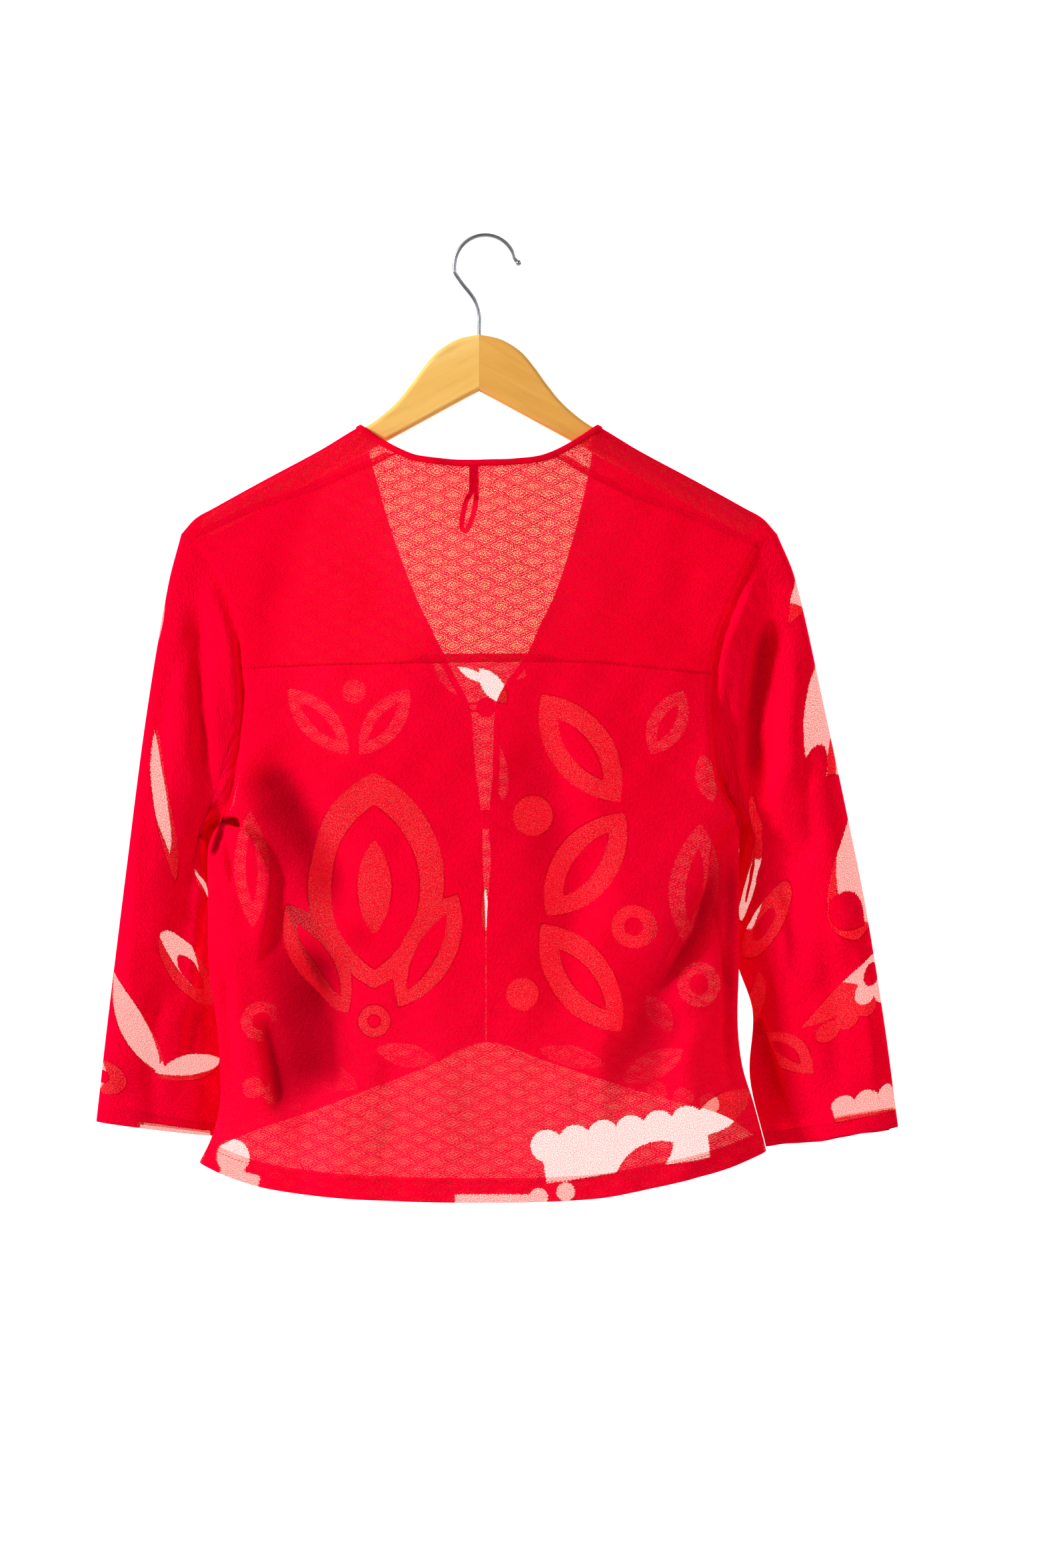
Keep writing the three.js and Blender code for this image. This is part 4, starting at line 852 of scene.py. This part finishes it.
def cloth_piece(name, panel, node, ornament=None, single=0.0, look="plain"):
    """A sheet of cloth from a panel's places, with its weave laid out in mm and its ornament.

    `single` is 1 on the rows that can hang with no cloth behind them, where pinholes show light.
    """
    (points, normals), (u, v), trough = panel
    faces = outward(points, normals, grid_faces(*points.shape[:2]))
    piece = mesh_object(f"{name}_cloth", points, faces.tolist(), look)
    mesh = piece.data
    loops = np.zeros(len(mesh.loops), np.int32)
    mesh.loops.foreach_get("vertex_index", loops)
    weave = np.stack([u, v], -1).reshape(-1, 2)[loops]
    mesh.uv_layers.new(name="weave").data.foreach_set("uv", weave.astype(np.float32).ravel())
    # The depth of each trough is stored as a share of painted shade that darkens the cloth in its
    # creases.
    stored = {
        "burnt": burnt(ornament, u, v) if ornament else UNBURNT,
        "painted_crease_shade": smooth((trough - PAINTED_CREASE_SHADE["from"]) / (PAINTED_CREASE_SHADE["to"] - PAINTED_CREASE_SHADE["from"])),
        "single": single}
    for key, values in stored.items():
        layer = mesh.attributes.new(key, "FLOAT", "POINT")
        layer.data.foreach_set("value", np.broadcast_to(values, u.shape).astype(np.float32).ravel())
    return keep(piece, "cloth", node)


def sweep(name, path, across, outs, section, look, sharp, more=None):
    """A closed section of (across, out) pairs carried along a path, with flat ends.

    `more` is another body's (points, faces) that belongs to the same piece.
    """
    wide, high = section[None, :, :1], section[None, :, 1:]
    points = (path[:, None] + across[:, None] * wide + outs[:, None] * high).reshape(-1, 3)
    faces = closed_faces(len(path), len(section))
    if more:
        faces += [[len(points) + corner for corner in face] for face in more[1]]
        points = np.vstack([points, more[0]])
    return mesh_object(name, points, faces, look, sharp)


def smooth_path(points, count):
    """A Catmull-Rom line through points, evenly cut."""
    p = np.array(points, float)
    p = np.vstack([2 * p[0] - p[1], p, 2 * p[-1] - p[-2]])
    t = np.linspace(0, 1, 13)[:-1, None]
    legs = []
    for a, b, c, d in zip(p, p[1:], p[2:], p[3:]):
        bend, twist = 2 * a - 5 * b + 4 * c - d, 3 * b - a - 3 * c + d
        legs.append(0.5 * (2 * b + (c - a) * t + bend * t**2 + twist * t**3))
    line = np.vstack([*legs, p[-2:-1]])
    run = run_along(line)
    return pick(line, run, np.linspace(0, run[-1], count))


def run_along(line):
    """Distance from a line's start to each of its points."""
    return np.r_[0, np.cumsum(np.linalg.norm(np.diff(line, axis=0), axis=1))]


def pick(values, run, at):
    """Rows between a line's own rows, at distances along it."""
    return np.stack([np.interp(at, run, values[:, k]) for k in range(3)], -1)


def round_section(radius, sides):
    angle = np.linspace(0, 2 * np.pi, sides, endpoint=False)
    return radius * np.stack([np.cos(angle), np.sin(angle)], -1)


def bar_section(width, thick, n=5):
    """A flat bar's outline with round edges."""
    angle = np.linspace(0, np.pi, n)
    right = np.stack([width / 2 - thick + thick * np.sin(angle), thick * np.cos(angle)], -1)
    return np.vstack([right, -right])


def strip(name, path, section, look, sharp=60, way=1, more=None):
    """A section swept along a path, its width square to Y, its outside on the `way` side."""
    along = unit(np.gradient(path, axis=0))
    across = unit(np.cross(along, (0.0, 1, 0)))
    return sweep(name, path, across, way * np.cross(along, across), section, look, sharp, more)


def tube(name, path, radius, look, sides=14, more=None):
    return strip(name, path, round_section(radius, sides), look, 40, -1, more)


# ---------------------------------------------------------------- materials

ROSETTE = {"across": 12, "down": 5.7, "rings": 3}       # half a lozenge of the weave, and its rings
OPEN = {"grain": 0.52, "clear": 0.62, "sheer": 0.64}    # pinholes' threshold and clearness, net's
CREPE = {"plain": 0.8, "sleeve": 1.2}                   # crêpe's share in the relief of each cloth


class Nodes:
    """The nodes of a material or a world, with short calls to add and link them."""

    def __init__(self, owner):
        owner.use_nodes = True
        self.owner, self.tree = owner, owner.node_tree
        self.tree.nodes.clear()

    def add(self, kind, inputs=None, socket=0, **settings):
        """Adds a node, with values or links on its inputs, and returns one of its outputs."""
        node = self.tree.nodes.new("ShaderNode" + kind)
        for key, value in settings.items():
            setattr(node, key, value)
        for key, value in (inputs or {}).items():
            if isinstance(value, bpy.types.NodeSocket):
                self.tree.links.new(value, node.inputs[key])
            else:
                node.inputs[key].default_value = value
        return node.outputs[socket] if len(node.outputs) else self.owner

    def math(self, operation, *values, clamp=False):
        return self.add("Math", dict(enumerate(values)), operation=operation, use_clamp=clamp)

    def times(self, *values, clamp=False):
        return self.math("MULTIPLY", *values, clamp=clamp)

    def fit(self, value, low, high, to_low=0.0, to_high=1.0, **settings):
        return self.add("MapRange", {"Value": value, "From Min": low, "From Max": high,
                                     "To Min": to_low, "To Max": to_high}, **settings)

    def blend(self, share, a, b):
        return self.add("Mix", {0: share, 6: a, 7: b}, 2, data_type="RGBA")

    def mix(self, share, a, b):
        return self.add("Mix", {0: share, 2: a, 3: b}, data_type="FLOAT")

    def noise(self, vector, scale, detail=2.0, rough=0.5, distortion=0.0, dimensions="3D"):
        inputs = {"Vector": vector, "Scale": scale, "Detail": detail, "Roughness": rough,
                  "Distortion": distortion}
        return self.add("TexNoise", inputs, "Fac", noise_dimensions=dimensions)

    def stretch(self, vector, scale, turn=(0, 0, 0)):
        return self.add("Mapping", {"Vector": vector, "Scale": scale, "Rotation": turn})

    def bump(self, height, distance, strength=1.0):
        return self.add("Bump", {"Height": height, "Distance": distance, "Strength": strength})

    def stored(self, name):
        return self.add("Attribute", None, "Fac", attribute_name=name, attribute_type="GEOMETRY")

    def place(self):
        return self.add("TexCoord", None, "Object")

    def gloss(self, colour, roughness, **inputs):
        """A principled shader; an input's name has _ where the socket's has a space."""
        named = {key.replace("_", " "): value for key, value in inputs.items()}
        return self.add("BsdfPrincipled", {"Base Color": colour, "Roughness": roughness, **named})

    def lit_cloth(self, colour, through_colour, share, roughness, specular, normal):
        """A matt face, with a share of the light let through from behind."""
        face = self.gloss(colour, roughness, Specular_IOR_Level=specular, Normal=normal)
        through = self.add("BsdfTranslucent", {"Color": through_colour, "Normal": normal})
        return self.add("MixShader", {0: share, 1: face, 2: through})

    def surface(self, shader, kind="OutputMaterial"):
        return self.add(kind, {"Surface": shader})


def material(name):
    return Nodes(bpy.data.materials.new(name))


def rgb(red, green, blue):
    """A colour given as it looks on a screen, 0 to 255, in linear light."""
    shares = (c / 255 for c in (red, green, blue))
    return (*(((c + 0.055) / 1.055) ** 2.4 if c > 0.04 else c / 12.92 for c in shares), 1)


def cloth_material(name, crepe):
    """Red jersey with a rosette weave: opaque with pinholes, or burnt out to a sheer net."""
    n = material(name)
    weave = n.add("UVMap", uv_map="weave")
    painted_crease_shade, single, burnt_here = n.stored("painted_crease_shade"), n.stored("single"), n.stored("burnt")

    def noise(scale, detail=1.0, rough=0.5, distortion=0.0, vector=weave):
        return n.noise(vector, scale, detail, rough, distortion, "2D")

    # Rings within each lozenge of the weave, and the pinholes that light shows through.
    across = n.times(n.add("SeparateXYZ", {0: weave}, "X"), 0.5 / ROSETTE["across"])
    down = n.times(n.add("SeparateXYZ", {0: weave}, "Y"), 0.5 / ROSETTE["down"])
    s, t = n.math("ADD", across, down), n.math("SUBTRACT", across, down)
    ring = n.math("MAXIMUM", n.math("PINGPONG", s, 0.5), n.math("PINGPONG", t, 0.5))
    ripple = n.math("COSINE", n.times(ring, 4 * math.pi * ROSETTE["rings"]))
    size = n.math("ADD", n.fit(ring, 0, 0.5, 0.05, -0.04), n.times(ripple, 0.06))
    level = n.math("SUBTRACT", OPEN["grain"], size)
    lit = n.times(n.math("SUBTRACT", noise(1.5, 2, 0.6), level), 10.0, clamp=True)
    lit = n.times(lit, single)
    # The painted crease shade also closes the pinholes in deep creases.
    pinholes = n.times(lit, n.fit(painted_crease_shade, 0, 0.4, OPEN["clear"], 0.0))

    # The net that is left where the pile is burnt away, with frayed edges.
    net = n.math("ADD", n.fit(noise(1.7), 0.3, 0.7, -0.34, 0.34), OPEN["sheer"], clamp=True)
    fray = n.fit(noise(0.9), 0.3, 0.7, -0.5, 0.5)
    sheer = n.fit(n.math("ADD", burnt_here, fray), -0.2, 0.2)
    gaps = n.mix(sheer, pinholes, net)

    # The red's slow changes, pale specks painted on the net as sparkles of light through it, and
    # painted shade round each burnt-out shape.
    red = n.blend(n.fit(noise(0.012, 2), 0.35, 0.65), rgb(247, 1, 68), rgb(251, 2, 72))
    painted_sparkle = n.times(sheer, n.fit(noise(2.1), 0.55, 0.66))
    red = n.blend(painted_sparkle, red, rgb(255, 214, 196))
    # Painted shade: a dark line along patches of each burnt-out shape's edge, for the shadow of the
    # thicker cloth's edge.
    rim = n.times(n.fit(burnt_here, -1.3, -0.3), n.fit(burnt_here, 0, 0.4, 1, 0))
    rim = n.times(rim, n.fit(noise(0.03), 0.42, 0.58, 0, 0.75))
    red = n.blend(rim, red, rgb(150, 0, 34))
    # The painted sparkle also pales the light the net lets through.
    glow = n.blend(painted_sparkle, n.blend(lit, rgb(255, 5, 50), rgb(255, 130, 100)), rgb(255, 150, 130))

    wrinkles = noise(1.0, 2, 0.5, 0.6, n.stretch(weave, (0.5, 0.36, 1), (0, 0, 0.5)))
    relief = n.math("ADD", n.times(wrinkles, crepe), n.times(noise(0.9), 0.35))
    relief = n.math("ADD", relief, n.times(ripple, 0.06))
    relief = n.math("SUBTRACT", relief, n.times(sheer, 0.3))
    # Painted shade: the cloth and the light it lets through turn a darker red in deep creases.
    red = n.blend(painted_crease_shade, red, rgb(140, 0, 26))
    glow = n.blend(painted_crease_shade, glow, rgb(132, 0, 18))
    cloth = n.lit_cloth(red, glow, 0.4, 0.95, 0.01, n.bump(relief, 0.0011, 0.9))
    tint = n.blend(sheer, rgb(255, 226, 186), rgb(255, 244, 238))
    clear = n.add("BsdfTransparent", {"Color": tint})
    return n.surface(n.add("MixShader", {0: gaps, 1: cloth, 2: clear}))


def trim_material(name, colour, through_colour, roughness, ribs):
    """Binding, tape, cord or thread: close cloth with fine ribs and a little light through it."""
    n = material(name)
    worn = tuple(0.82 * c for c in colour[:3]) + (1,)
    shade = n.blend(n.fit(n.noise(n.place(), 60, 3), 0.3, 0.7), colour, worn)
    normal = n.bump(n.noise(n.stretch(n.place(), ribs), 1.0, 2), 0.0004, 0.8)
    return n.surface(n.lit_cloth(shade, through_colour, 0.35, roughness, 0.04, normal))


def wood_material(name, lean, light, deep):
    """Light varnished wood, its grain along one arm of the hanger."""
    n = material(name)
    along = n.stretch(n.place(), (1, 1, 1), (0, lean * math.atan(WOOD["slope"]), 0))

    def noise(scale, *settings):
        return n.noise(n.stretch(along, scale), 1.0, *settings)
    pores = noise((70, 900, 1500), 2)
    pale = n.blend(n.fit(noise((6, 30, 40), 3, 0.5, 0.8), 0.35, 0.65), light, deep)
    veins = n.fit(noise((11, 120, 150), 4, 0.6, 0.6), 0.52, 0.72, 0, 0.26)
    veined = n.blend(veins, pale, rgb(196, 134, 66))
    dotted = n.blend(n.fit(pores, 0.68, 0.8, 0, 0.2), veined, rgb(150, 96, 46))
    return n.surface(n.gloss(dotted, 0.5, Specular_IOR_Level=0.3, Coat_Weight=0.1,
                             Coat_Roughness=0.35, Normal=n.bump(pores, 0.0002, 0.35)))


def steel_material():
    n = material("steel")
    smears = n.noise(n.stretch(n.place(), (40, 40, 160)), 1.0, 3)
    return n.surface(n.gloss(rgb(158, 160, 164), n.fit(smears, 0.3, 0.7, 0.3, 0.45), Metallic=0.8))


def button_material():
    n = material("button")
    cloud = n.noise(n.place(), 180, 3)
    colour = n.blend(n.fit(cloud, 0.35, 0.65), rgb(196, 10, 36), rgb(172, 4, 28))
    return n.surface(n.gloss(colour, 0.34, Coat_Weight=0.4, Coat_Roughness=0.15,
                             Normal=n.bump(cloud, 0.0002, 0.4)))


LOOKS = {
    **{key: cloth_material(f"cloth_{key}", crepe) for key, crepe in CREPE.items()},
    "binding": trim_material("binding", rgb(252, 3, 62), rgb(255, 20, 50), 0.9, (900, 900, 900)),
    "tape": trim_material("tape", rgb(225, 5, 45), rgb(240, 10, 35), 0.7, (300, 300, 2400)),
    "thread": trim_material("thread", rgb(236, 40, 66), rgb(255, 40, 60), 0.7, (2500, 2500, 2500)),
    "wood_left": wood_material("wood_left", 1, rgb(253, 208, 124), rgb(244, 192, 104)),
    "wood_right": wood_material("wood_right", -1, rgb(238, 182, 95), rgb(226, 164, 80)),
    "steel": steel_material(),
    "button": button_material(),
}


# ---------------------------------------------------------------- the pieces

# Each panel's flat cut in metres (width, length, area), and what it hangs from.
SHEETS = {
    "back_yoke": (0.42, 0.2, 0.058, "left_front_cloth", "right_front_cloth"),
    "lower_back": (0.46, 0.43, 0.17, "back_yoke_cloth"),
    **{f"{side}_front": (0.24, 0.56, 0.1, f"hanger_{side}") for side in SIDES},
    **{f"{side}_sleeve": (0.26, 0.46, 0.086, f"{side}_front_cloth", "back_yoke_cloth")
       for side in SIDES},
}
STITCH = {"pitch": 3.0, "length": 2.1, "radius": 0.27, "sink": 0.12, "from_seam": 1.8,
          "from_binding": 0.7}


def stitches(name, lines):
    """Topstitching as one mesh: small arched threads along lines of (points, normals)."""
    ring, share = round_section(STITCH["radius"], 6), np.linspace(-0.5, 0.5, 5)[:, None]
    fat = np.sqrt(np.clip(1.02 - (2 * share) ** 2, 0.05, 1))
    lift = STITCH["radius"] * (fat - 0.2) - STITCH["sink"]
    thread = xyz(share * STITCH["length"], fat * ring[:, 0], lift + fat * ring[:, 1])
    size = len(share) * len(ring)
    tail = np.array([[0, 1, 2, 3], [0, 3, 4, 5]])
    skin = np.vstack([grid_faces(len(share), len(ring), True), [[5, 4, 3, 2], [5, 2, 1, 0]],
                      size - len(ring) + tail])
    points = []
    for line, normals in lines:
        run = run_along(line)
        at = np.arange(STITCH["pitch"] / 2, run[-1], STITCH["pitch"])
        normal = unit(pick(normals, run, at))
        along = unit(pick(line, run, at + 0.5) - pick(line, run, at - 0.5))
        frames = np.stack([along, unit(np.cross(normal, along)), normal], 1)
        points.append(pick(line, run, at)[:, None, None] + thread @ frames[:, None])
    points = np.vstack(points)
    faces = (skin + size * np.arange(len(points))[:, None, None]).reshape(-1, 4)
    return keep(mesh_object(name, points, faces.tolist(), "thread"), "cloth")


def neck_line(inset):
    """Places along the back neckline, from the left corner to the right one."""
    out, z = neck_place(np.linspace(0, 0.997, 60), inset)
    return body_point("back", *join_halves(*((CENTRE_X + SIGN[side] * out, z) for side in SIDES)))


def front_line(side, start, inset):
    """Places down a front edge."""
    x, z = front_place(side, 0.0, start + (1 - start) * np.linspace(0, 1, 200) ** 1.5, inset)
    return body_point("front", x, z)


def bind(name, node, line):
    """Cloth bound over an edge: a rounded bar between the edge and a line inside it."""
    (edge, normal), (inside, _) = line(0), line(BINDING["width"])
    middle, across = (edge + inside) / 2, unit(inside - edge)
    along = unit(np.gradient(middle, axis=0))
    outs = square_to(along, across, normal)
    square = square_to(outs, along, across)
    section = bar_section(BINDING["width"], BINDING["thick"])
    bar = sweep(f"{name}_binding", middle, square, outs, section, "binding", 60)
    keep(bar, "binding", f"binding_{node}")


def make_bindings():
    bind("back_neck", "neck", neck_line)
    for side in SIDES:
        bind(f"{side}_front", side, partial(front_line, side, 0.0004))


def make_panels():
    made = {"back_yoke": cloth_piece("back_yoke", back_yoke(), "back_yoke", single=1.0),
            "lower_back": cloth_piece("lower_back", lower_back(), "back_lower", "back", 0.35)}
    for side in SIDES:
        panel = front(side)
        over_shoulder = (np.arange(len(panel[2])) < ROWS["wrap"] - 1)[:, None]
        made[f"{side}_front"] = cloth_piece(
            f"{side}_front", panel, f"front_{side}", "front", over_shoulder)
        made[f"{side}_sleeve"] = cloth_piece(
            f"{side}_sleeve", sleeve(side), f"sleeve_{side}", f"{side} sleeve", look="sleeve")
    return made


def make_stitching():
    xs = np.linspace(-176, 168, 260)
    bar_z = np.linspace(-330, -345, 12)
    yoke = stitches("yoke_stitching", [body_point("back", xs, yoke_seam(xs) + STITCH["from_seam"]),
                                       body_point("back", 163, bar_z)])
    seams = []
    for side in SIDES:
        ends = seam_ends[side]
        out = lerp(ends["neck_out"], ends["armhole_out"], np.linspace(0.01, 0.99, 120))
        x = CENTRE_X + SIGN[side] * out
        seams.append(body_point("back", x, seam_z(side, out) + STITCH["from_seam"]))
    shoulders = stitches("shoulder_stitching", seams)
    beside = BINDING["width"] + STITCH["from_binding"]
    edges = [neck_line(beside), *(front_line(side, 0.002, beside) for side in SIDES)]
    stitches("binding_stitching", edges)
    xs = np.linspace(-206, 202, 300)
    hems = [body_point("back", xs, back_hem(xs) + HEM_TURN - 1)]
    for side in SIDES:
        hem, cuff = (1 - (HEM_TURN - 1) / length for length in (FRONT_LENGTH, SLEEVE_LENGTH))
        x, z = front_place(side, np.linspace(0.012, 0.985, 160), hem, 0)
        hems.append(body_point("front", x, z))
        hems.append(sleeve_point(side, cuff, np.linspace(-0.49, 0.49, 200)))
    return {"back_yoke": [yoke, shoulders], "lower_back": [stitches("hem_stitching", hems)]}


def declare_sheets(panels, lines):
    for name, (width, length, area, *rests_on) in SHEETS.items():
        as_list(lines.get(name, []))


def make_hanging_loop():
    """Narrow tape: down, round a slim open eye, and back beside itself."""
    x, _, z = smooth_path([(x, 0, z) for x, z in TAPE_ROUTE], 190).T
    cloth = body_point("back", x, z)[0][:, 1]
    path = xyz(x, np.maximum(cloth, cloth.mean()) + TAPE["gap"], z)
    section = bar_section(TAPE["width"], TAPE["thick"] / 2)
    keep(strip("hanging_loop_tape", path, section, "tape"), "tape", "hanging_loop")


def lathe(profile, sides, centre):
    """A turned body about Y, from (radius, height) pairs that start and end on the axis."""
    angle = np.linspace(0, 2 * np.pi, sides, endpoint=False)
    radius, height = np.array(profile[1:-1]).T[..., None]
    rings = xyz(radius * np.cos(angle), height, radius * np.sin(angle))
    points = np.vstack([rings.reshape(-1, 3), *([(0, profile[end][1], 0)] for end in (0, -1))])
    first, last, start = len(points) - 2, len(points) - 1, (len(radius) - 1) * sides
    faces = grid_faces(len(radius), sides, True).tolist()
    for i in range(sides):
        j = (i + 1) % sides
        faces += [[first, i, j], [last, start + j, start + i]]
    return points + np.array(centre), faces


def ball(radius, sides, rings, centre):
    """A sphere with its poles on Z."""
    turn = np.linspace(0, np.pi, rings + 1)
    points, faces = lathe(np.stack([np.sin(turn), -np.cos(turn)], -1) * radius, sides, (0, 0, 0))
    return points[:, [2, 0, 1]] + np.array(centre), faces


def make_buttons():
    """Round dished buttons on stub shanks, and the cord loops that hold them."""
    r, thick, bend, ease = BUTTON["diameter"] / 2, BUTTON["thick"], BUTTON["bend"], BUTTON["ease"]
    shank, base, foot = BUTTON["shank"] / 2, thick - BUTTON["dish"], -BUTTON["shank_length"]
    quarter, steps = np.linspace(0, math.pi / 2, 6), np.linspace(0, 1, 6)
    profile = [
        (0, foot), (shank, foot), (shank, -BUTTON["fillet"]), (shank + 0.5, 0),
        *((r - 1 + math.sin(a), 1 - math.cos(a)) for a in quarter),
        *((r - bend + bend * math.cos(a), thick - bend + bend * math.sin(a)) for a in quarter),
        *((r - BUTTON["rim"] - 0.5 - BUTTON["dish_slope"] * t, thick - BUTTON["dish"] * smooth(t))
          for t in steps),
        (BUTTON["dish_floor"], base), (0, base)]
    reach = shank + ease + LOOP_CORD / 2
    for name, (x, z, start) in BUTTONS.items():
        face = float(body_point("front", CENTRE_X, z)[0][1]) + BINDING["thick"] + ease
        points, faces = lathe(profile, 48, (x, face + ease + LOOP_CORD + ease, z))
        keep(mesh_object(f"{name}_button", points, faces, "button", 40), "button", f"button_{name}")
        y, sewn, spread = face + ease + LOOP_CORD / 2, start - 3, reach * 0.9
        turn = np.linspace(math.pi / 2, -math.pi / 2, 9)
        line = [(sewn - 1, y - 1.4, z + spread), (sewn, y, z + spread),
                *((x + reach * math.cos(a), y, z + reach * math.sin(a)) for a in turn),
                (sewn, y, z - spread), (sewn - 1, y - 1.4, z - spread)]
        cord = tube(f"{name}_button_cord", smooth_path(line, 70), LOOP_CORD / 2, "binding")
        keep(cord, "binding", f"button_loop_{name}")


def arm_outline():
    """Outline of one arm of the hanger: along the top, round the end and back to the notch."""
    outs = (110, 135, 160, 185, WOOD["round_from"])
    under = [(out, 0, float(shoulder_line(out)) - WOOD["under"]) for out in outs]
    top = smooth_path([*((out, 0, z) for out, z in WOOD_TOP), *under], 90)[:, [0, 2]]
    along = np.array([1, -WOOD["slope"]]) / math.hypot(1, WOOD["slope"])
    across = np.array([-along[1], along[0]])
    foot = WOOD["notch_z"] - WOOD["slope"] * top[-1, 0]
    half = (top[-1, 1] - foot) * along[0] / 2
    angle = np.pi * (0.5 - np.linspace(0, 1, 17)[1:, None])
    middle = top[-1] - half * across
    end = middle + WOOD["end_reach"] * np.cos(angle) * along + half * np.sin(angle) * across
    notch = np.array([0, WOOD["notch_z"]])
    return np.vstack([top, end, lerp(end[-1], notch, np.linspace(0, 1, 40)[1:-1, None])])


def wood_half(side):
    """One half of the flat hanger, its edges rounded, cut off square at the mitre."""
    arm = arm_outline()
    outline = np.vstack([arm, [(0, WOOD["notch_z"])], arm[1:][::-1] * [-1, 1]]) + [CENTRE_X, 0]
    way = unit(np.roll(outline, -1, 0) - np.roll(outline, 1, 0))
    inward = np.stack([way[:, 1], -way[:, 0]], -1)
    r, rings = WOOD["round"], []
    for angle in np.r_[np.linspace(-np.pi / 2, 0, 7), np.linspace(0, np.pi / 2, 7)]:
        flat = outline + inward * r * (1 - math.cos(angle))
        y = math.copysign(WOOD["thick"] / 2 - r, angle) + r * math.sin(angle)
        rings.append(xyz(flat[:, 0], y, flat[:, 1]))
    faces = closed_faces(len(rings), len(outline))
    piece = mesh_object(f"{side}_hanger_half", rings, faces, f"wood_{side}", 50)
    bm = bmesh.new()
    bm.from_mesh(piece.data)
    bmesh.ops.triangulate(bm, faces=[f for f in bm.faces if len(f.verts) > 4])
    cut = bmesh.ops.bisect_plane(
        bm, geom=[*bm.verts, *bm.edges, *bm.faces], plane_no=(-SIGN[side], 0, 0), clear_outer=True,
        plane_co=((CENTRE_X + SIGN[side] * WOOD["joint"]) * MM, 0, 0))
    rim = [e for e in cut["geom_cut"] if isinstance(e, bmesh.types.BMEdge)]
    bmesh.ops.contextual_create(bm, geom=rim)
    bmesh.ops.recalc_face_normals(bm, faces=bm.faces)
    for face in bm.faces:
        face.smooth = max(abs(face.normal.x), abs(face.normal.y)) < 0.999
    bm.to_mesh(piece.data)
    bm.free()
    keep(piece, "wood", f"hanger_{side}")


def hook_line():
    """Middle line of the hook: free end, round over the crown, back in to the stem."""
    radius, centre = WIRE["radius"], WIRE["diameter"] / 2 - WIRE["radius"]
    turn = np.radians(np.arange(24, 196.1, 8.6))
    arc = [(radius * math.cos(a), centre + radius * math.sin(a)) for a in turn]
    bend = [(-16.6, -36), (-10.6, -43.4), (-6.6, -50)]
    stem = [(CENTRE_X, z) for z in (-58, -66, -75, -98)]
    return [(x, 0, z) for x, z in [(25, -19.5), (22.4, -16.6), *arc, *bend, *stem]]


def make_hanger():
    for side in SIDES:
        wood_half(side)
    tip = ball(WIRE["ball"] / 2, 24, 14, hook_line()[0])
    wire = tube("hook_wire", smooth_path(hook_line(), 220), WIRE["diameter"] / 2, "steel", 18, tip)
    keep(wire, "steel", "hook")


make_bindings()
declare_sheets(make_panels(), make_stitching())
make_hanging_loop()
make_buttons()
make_hanger()


# ---------------------------------------------------------------- floor, light and camera

# Brightness of the white all round: in front, behind, and as the camera sees it.
WORLD = {"front": 0.08, "back": 0.7, "seen": 1.05}
CAMERA = {"lens": 91.8, "place": (0.028, -3, -0.4105)}
# Soft square lamps: place and width in metres, and power in watts.
LAMPS = {
    "raking_light": ((-4.9, -2.4, 1.7), 0.9, 345),
    "fill_light": ((2.0, -2.4, 0.6), 1.5, 28),
    "back_light": ((4.4, 3.0, 1.9), 0.9, 190),
}


def place_object(name, data, location, rotation):
    holder = bpy.data.objects.new(name, data)
    holder.location, holder.rotation_euler = location, rotation
    bpy.context.scene.collection.objects.link(holder)
    return holder


def make_stage():
    bpy.ops.mesh.primitive_circle_add(
        vertices=96, radius=1.4, fill_type="NGON", location=(0, 0, -1.3))
    floor = bpy.context.object
    floor.name = "floor"
    n = material("floor")
    floor.data.materials.append(n.surface(n.gloss((0.86, 0.86, 0.85, 1), 0.9)))


def make_light():
    """White all round, brighter behind the garment, with soft lamps that rake its folds."""
    bpy.context.scene.world = world = bpy.data.worlds.new("world")
    n = Nodes(world)
    toward_back = n.add("SeparateXYZ", {0: n.add("TexCoord", None, "Generated")}, "Y")
    lit = n.fit(toward_back, -0.6, 0.7, WORLD["front"], WORLD["back"],
                interpolation_type="SMOOTHSTEP")
    strength = n.mix(n.add("LightPath", None, "Is Camera Ray"), lit, WORLD["seen"])
    n.surface(n.add("Background", {"Color": (1, 1, 1, 1), "Strength": strength}), "OutputWorld")
    for name, (place, size, power) in LAMPS.items():
        lamp = bpy.data.lights.new(name, "AREA")
        lamp.energy, lamp.size = power, size
        aim = Vector(np.array([0, 0, -0.4]) - place)
        place_object(name, lamp, place, aim.to_track_quat("-Z", "Y").to_euler())


def make_camera():
    lens = bpy.data.cameras.new("camera")
    lens.lens = CAMERA["lens"]
    bpy.context.scene.camera = place_object("camera", lens, CAMERA["place"], (math.pi / 2, 0, 0))


make_stage()
make_light()
make_camera()
bpy.context.scene.view_settings.view_transform = "Standard"
bpy.context.scene.view_settings.look = "Medium High Contrast"
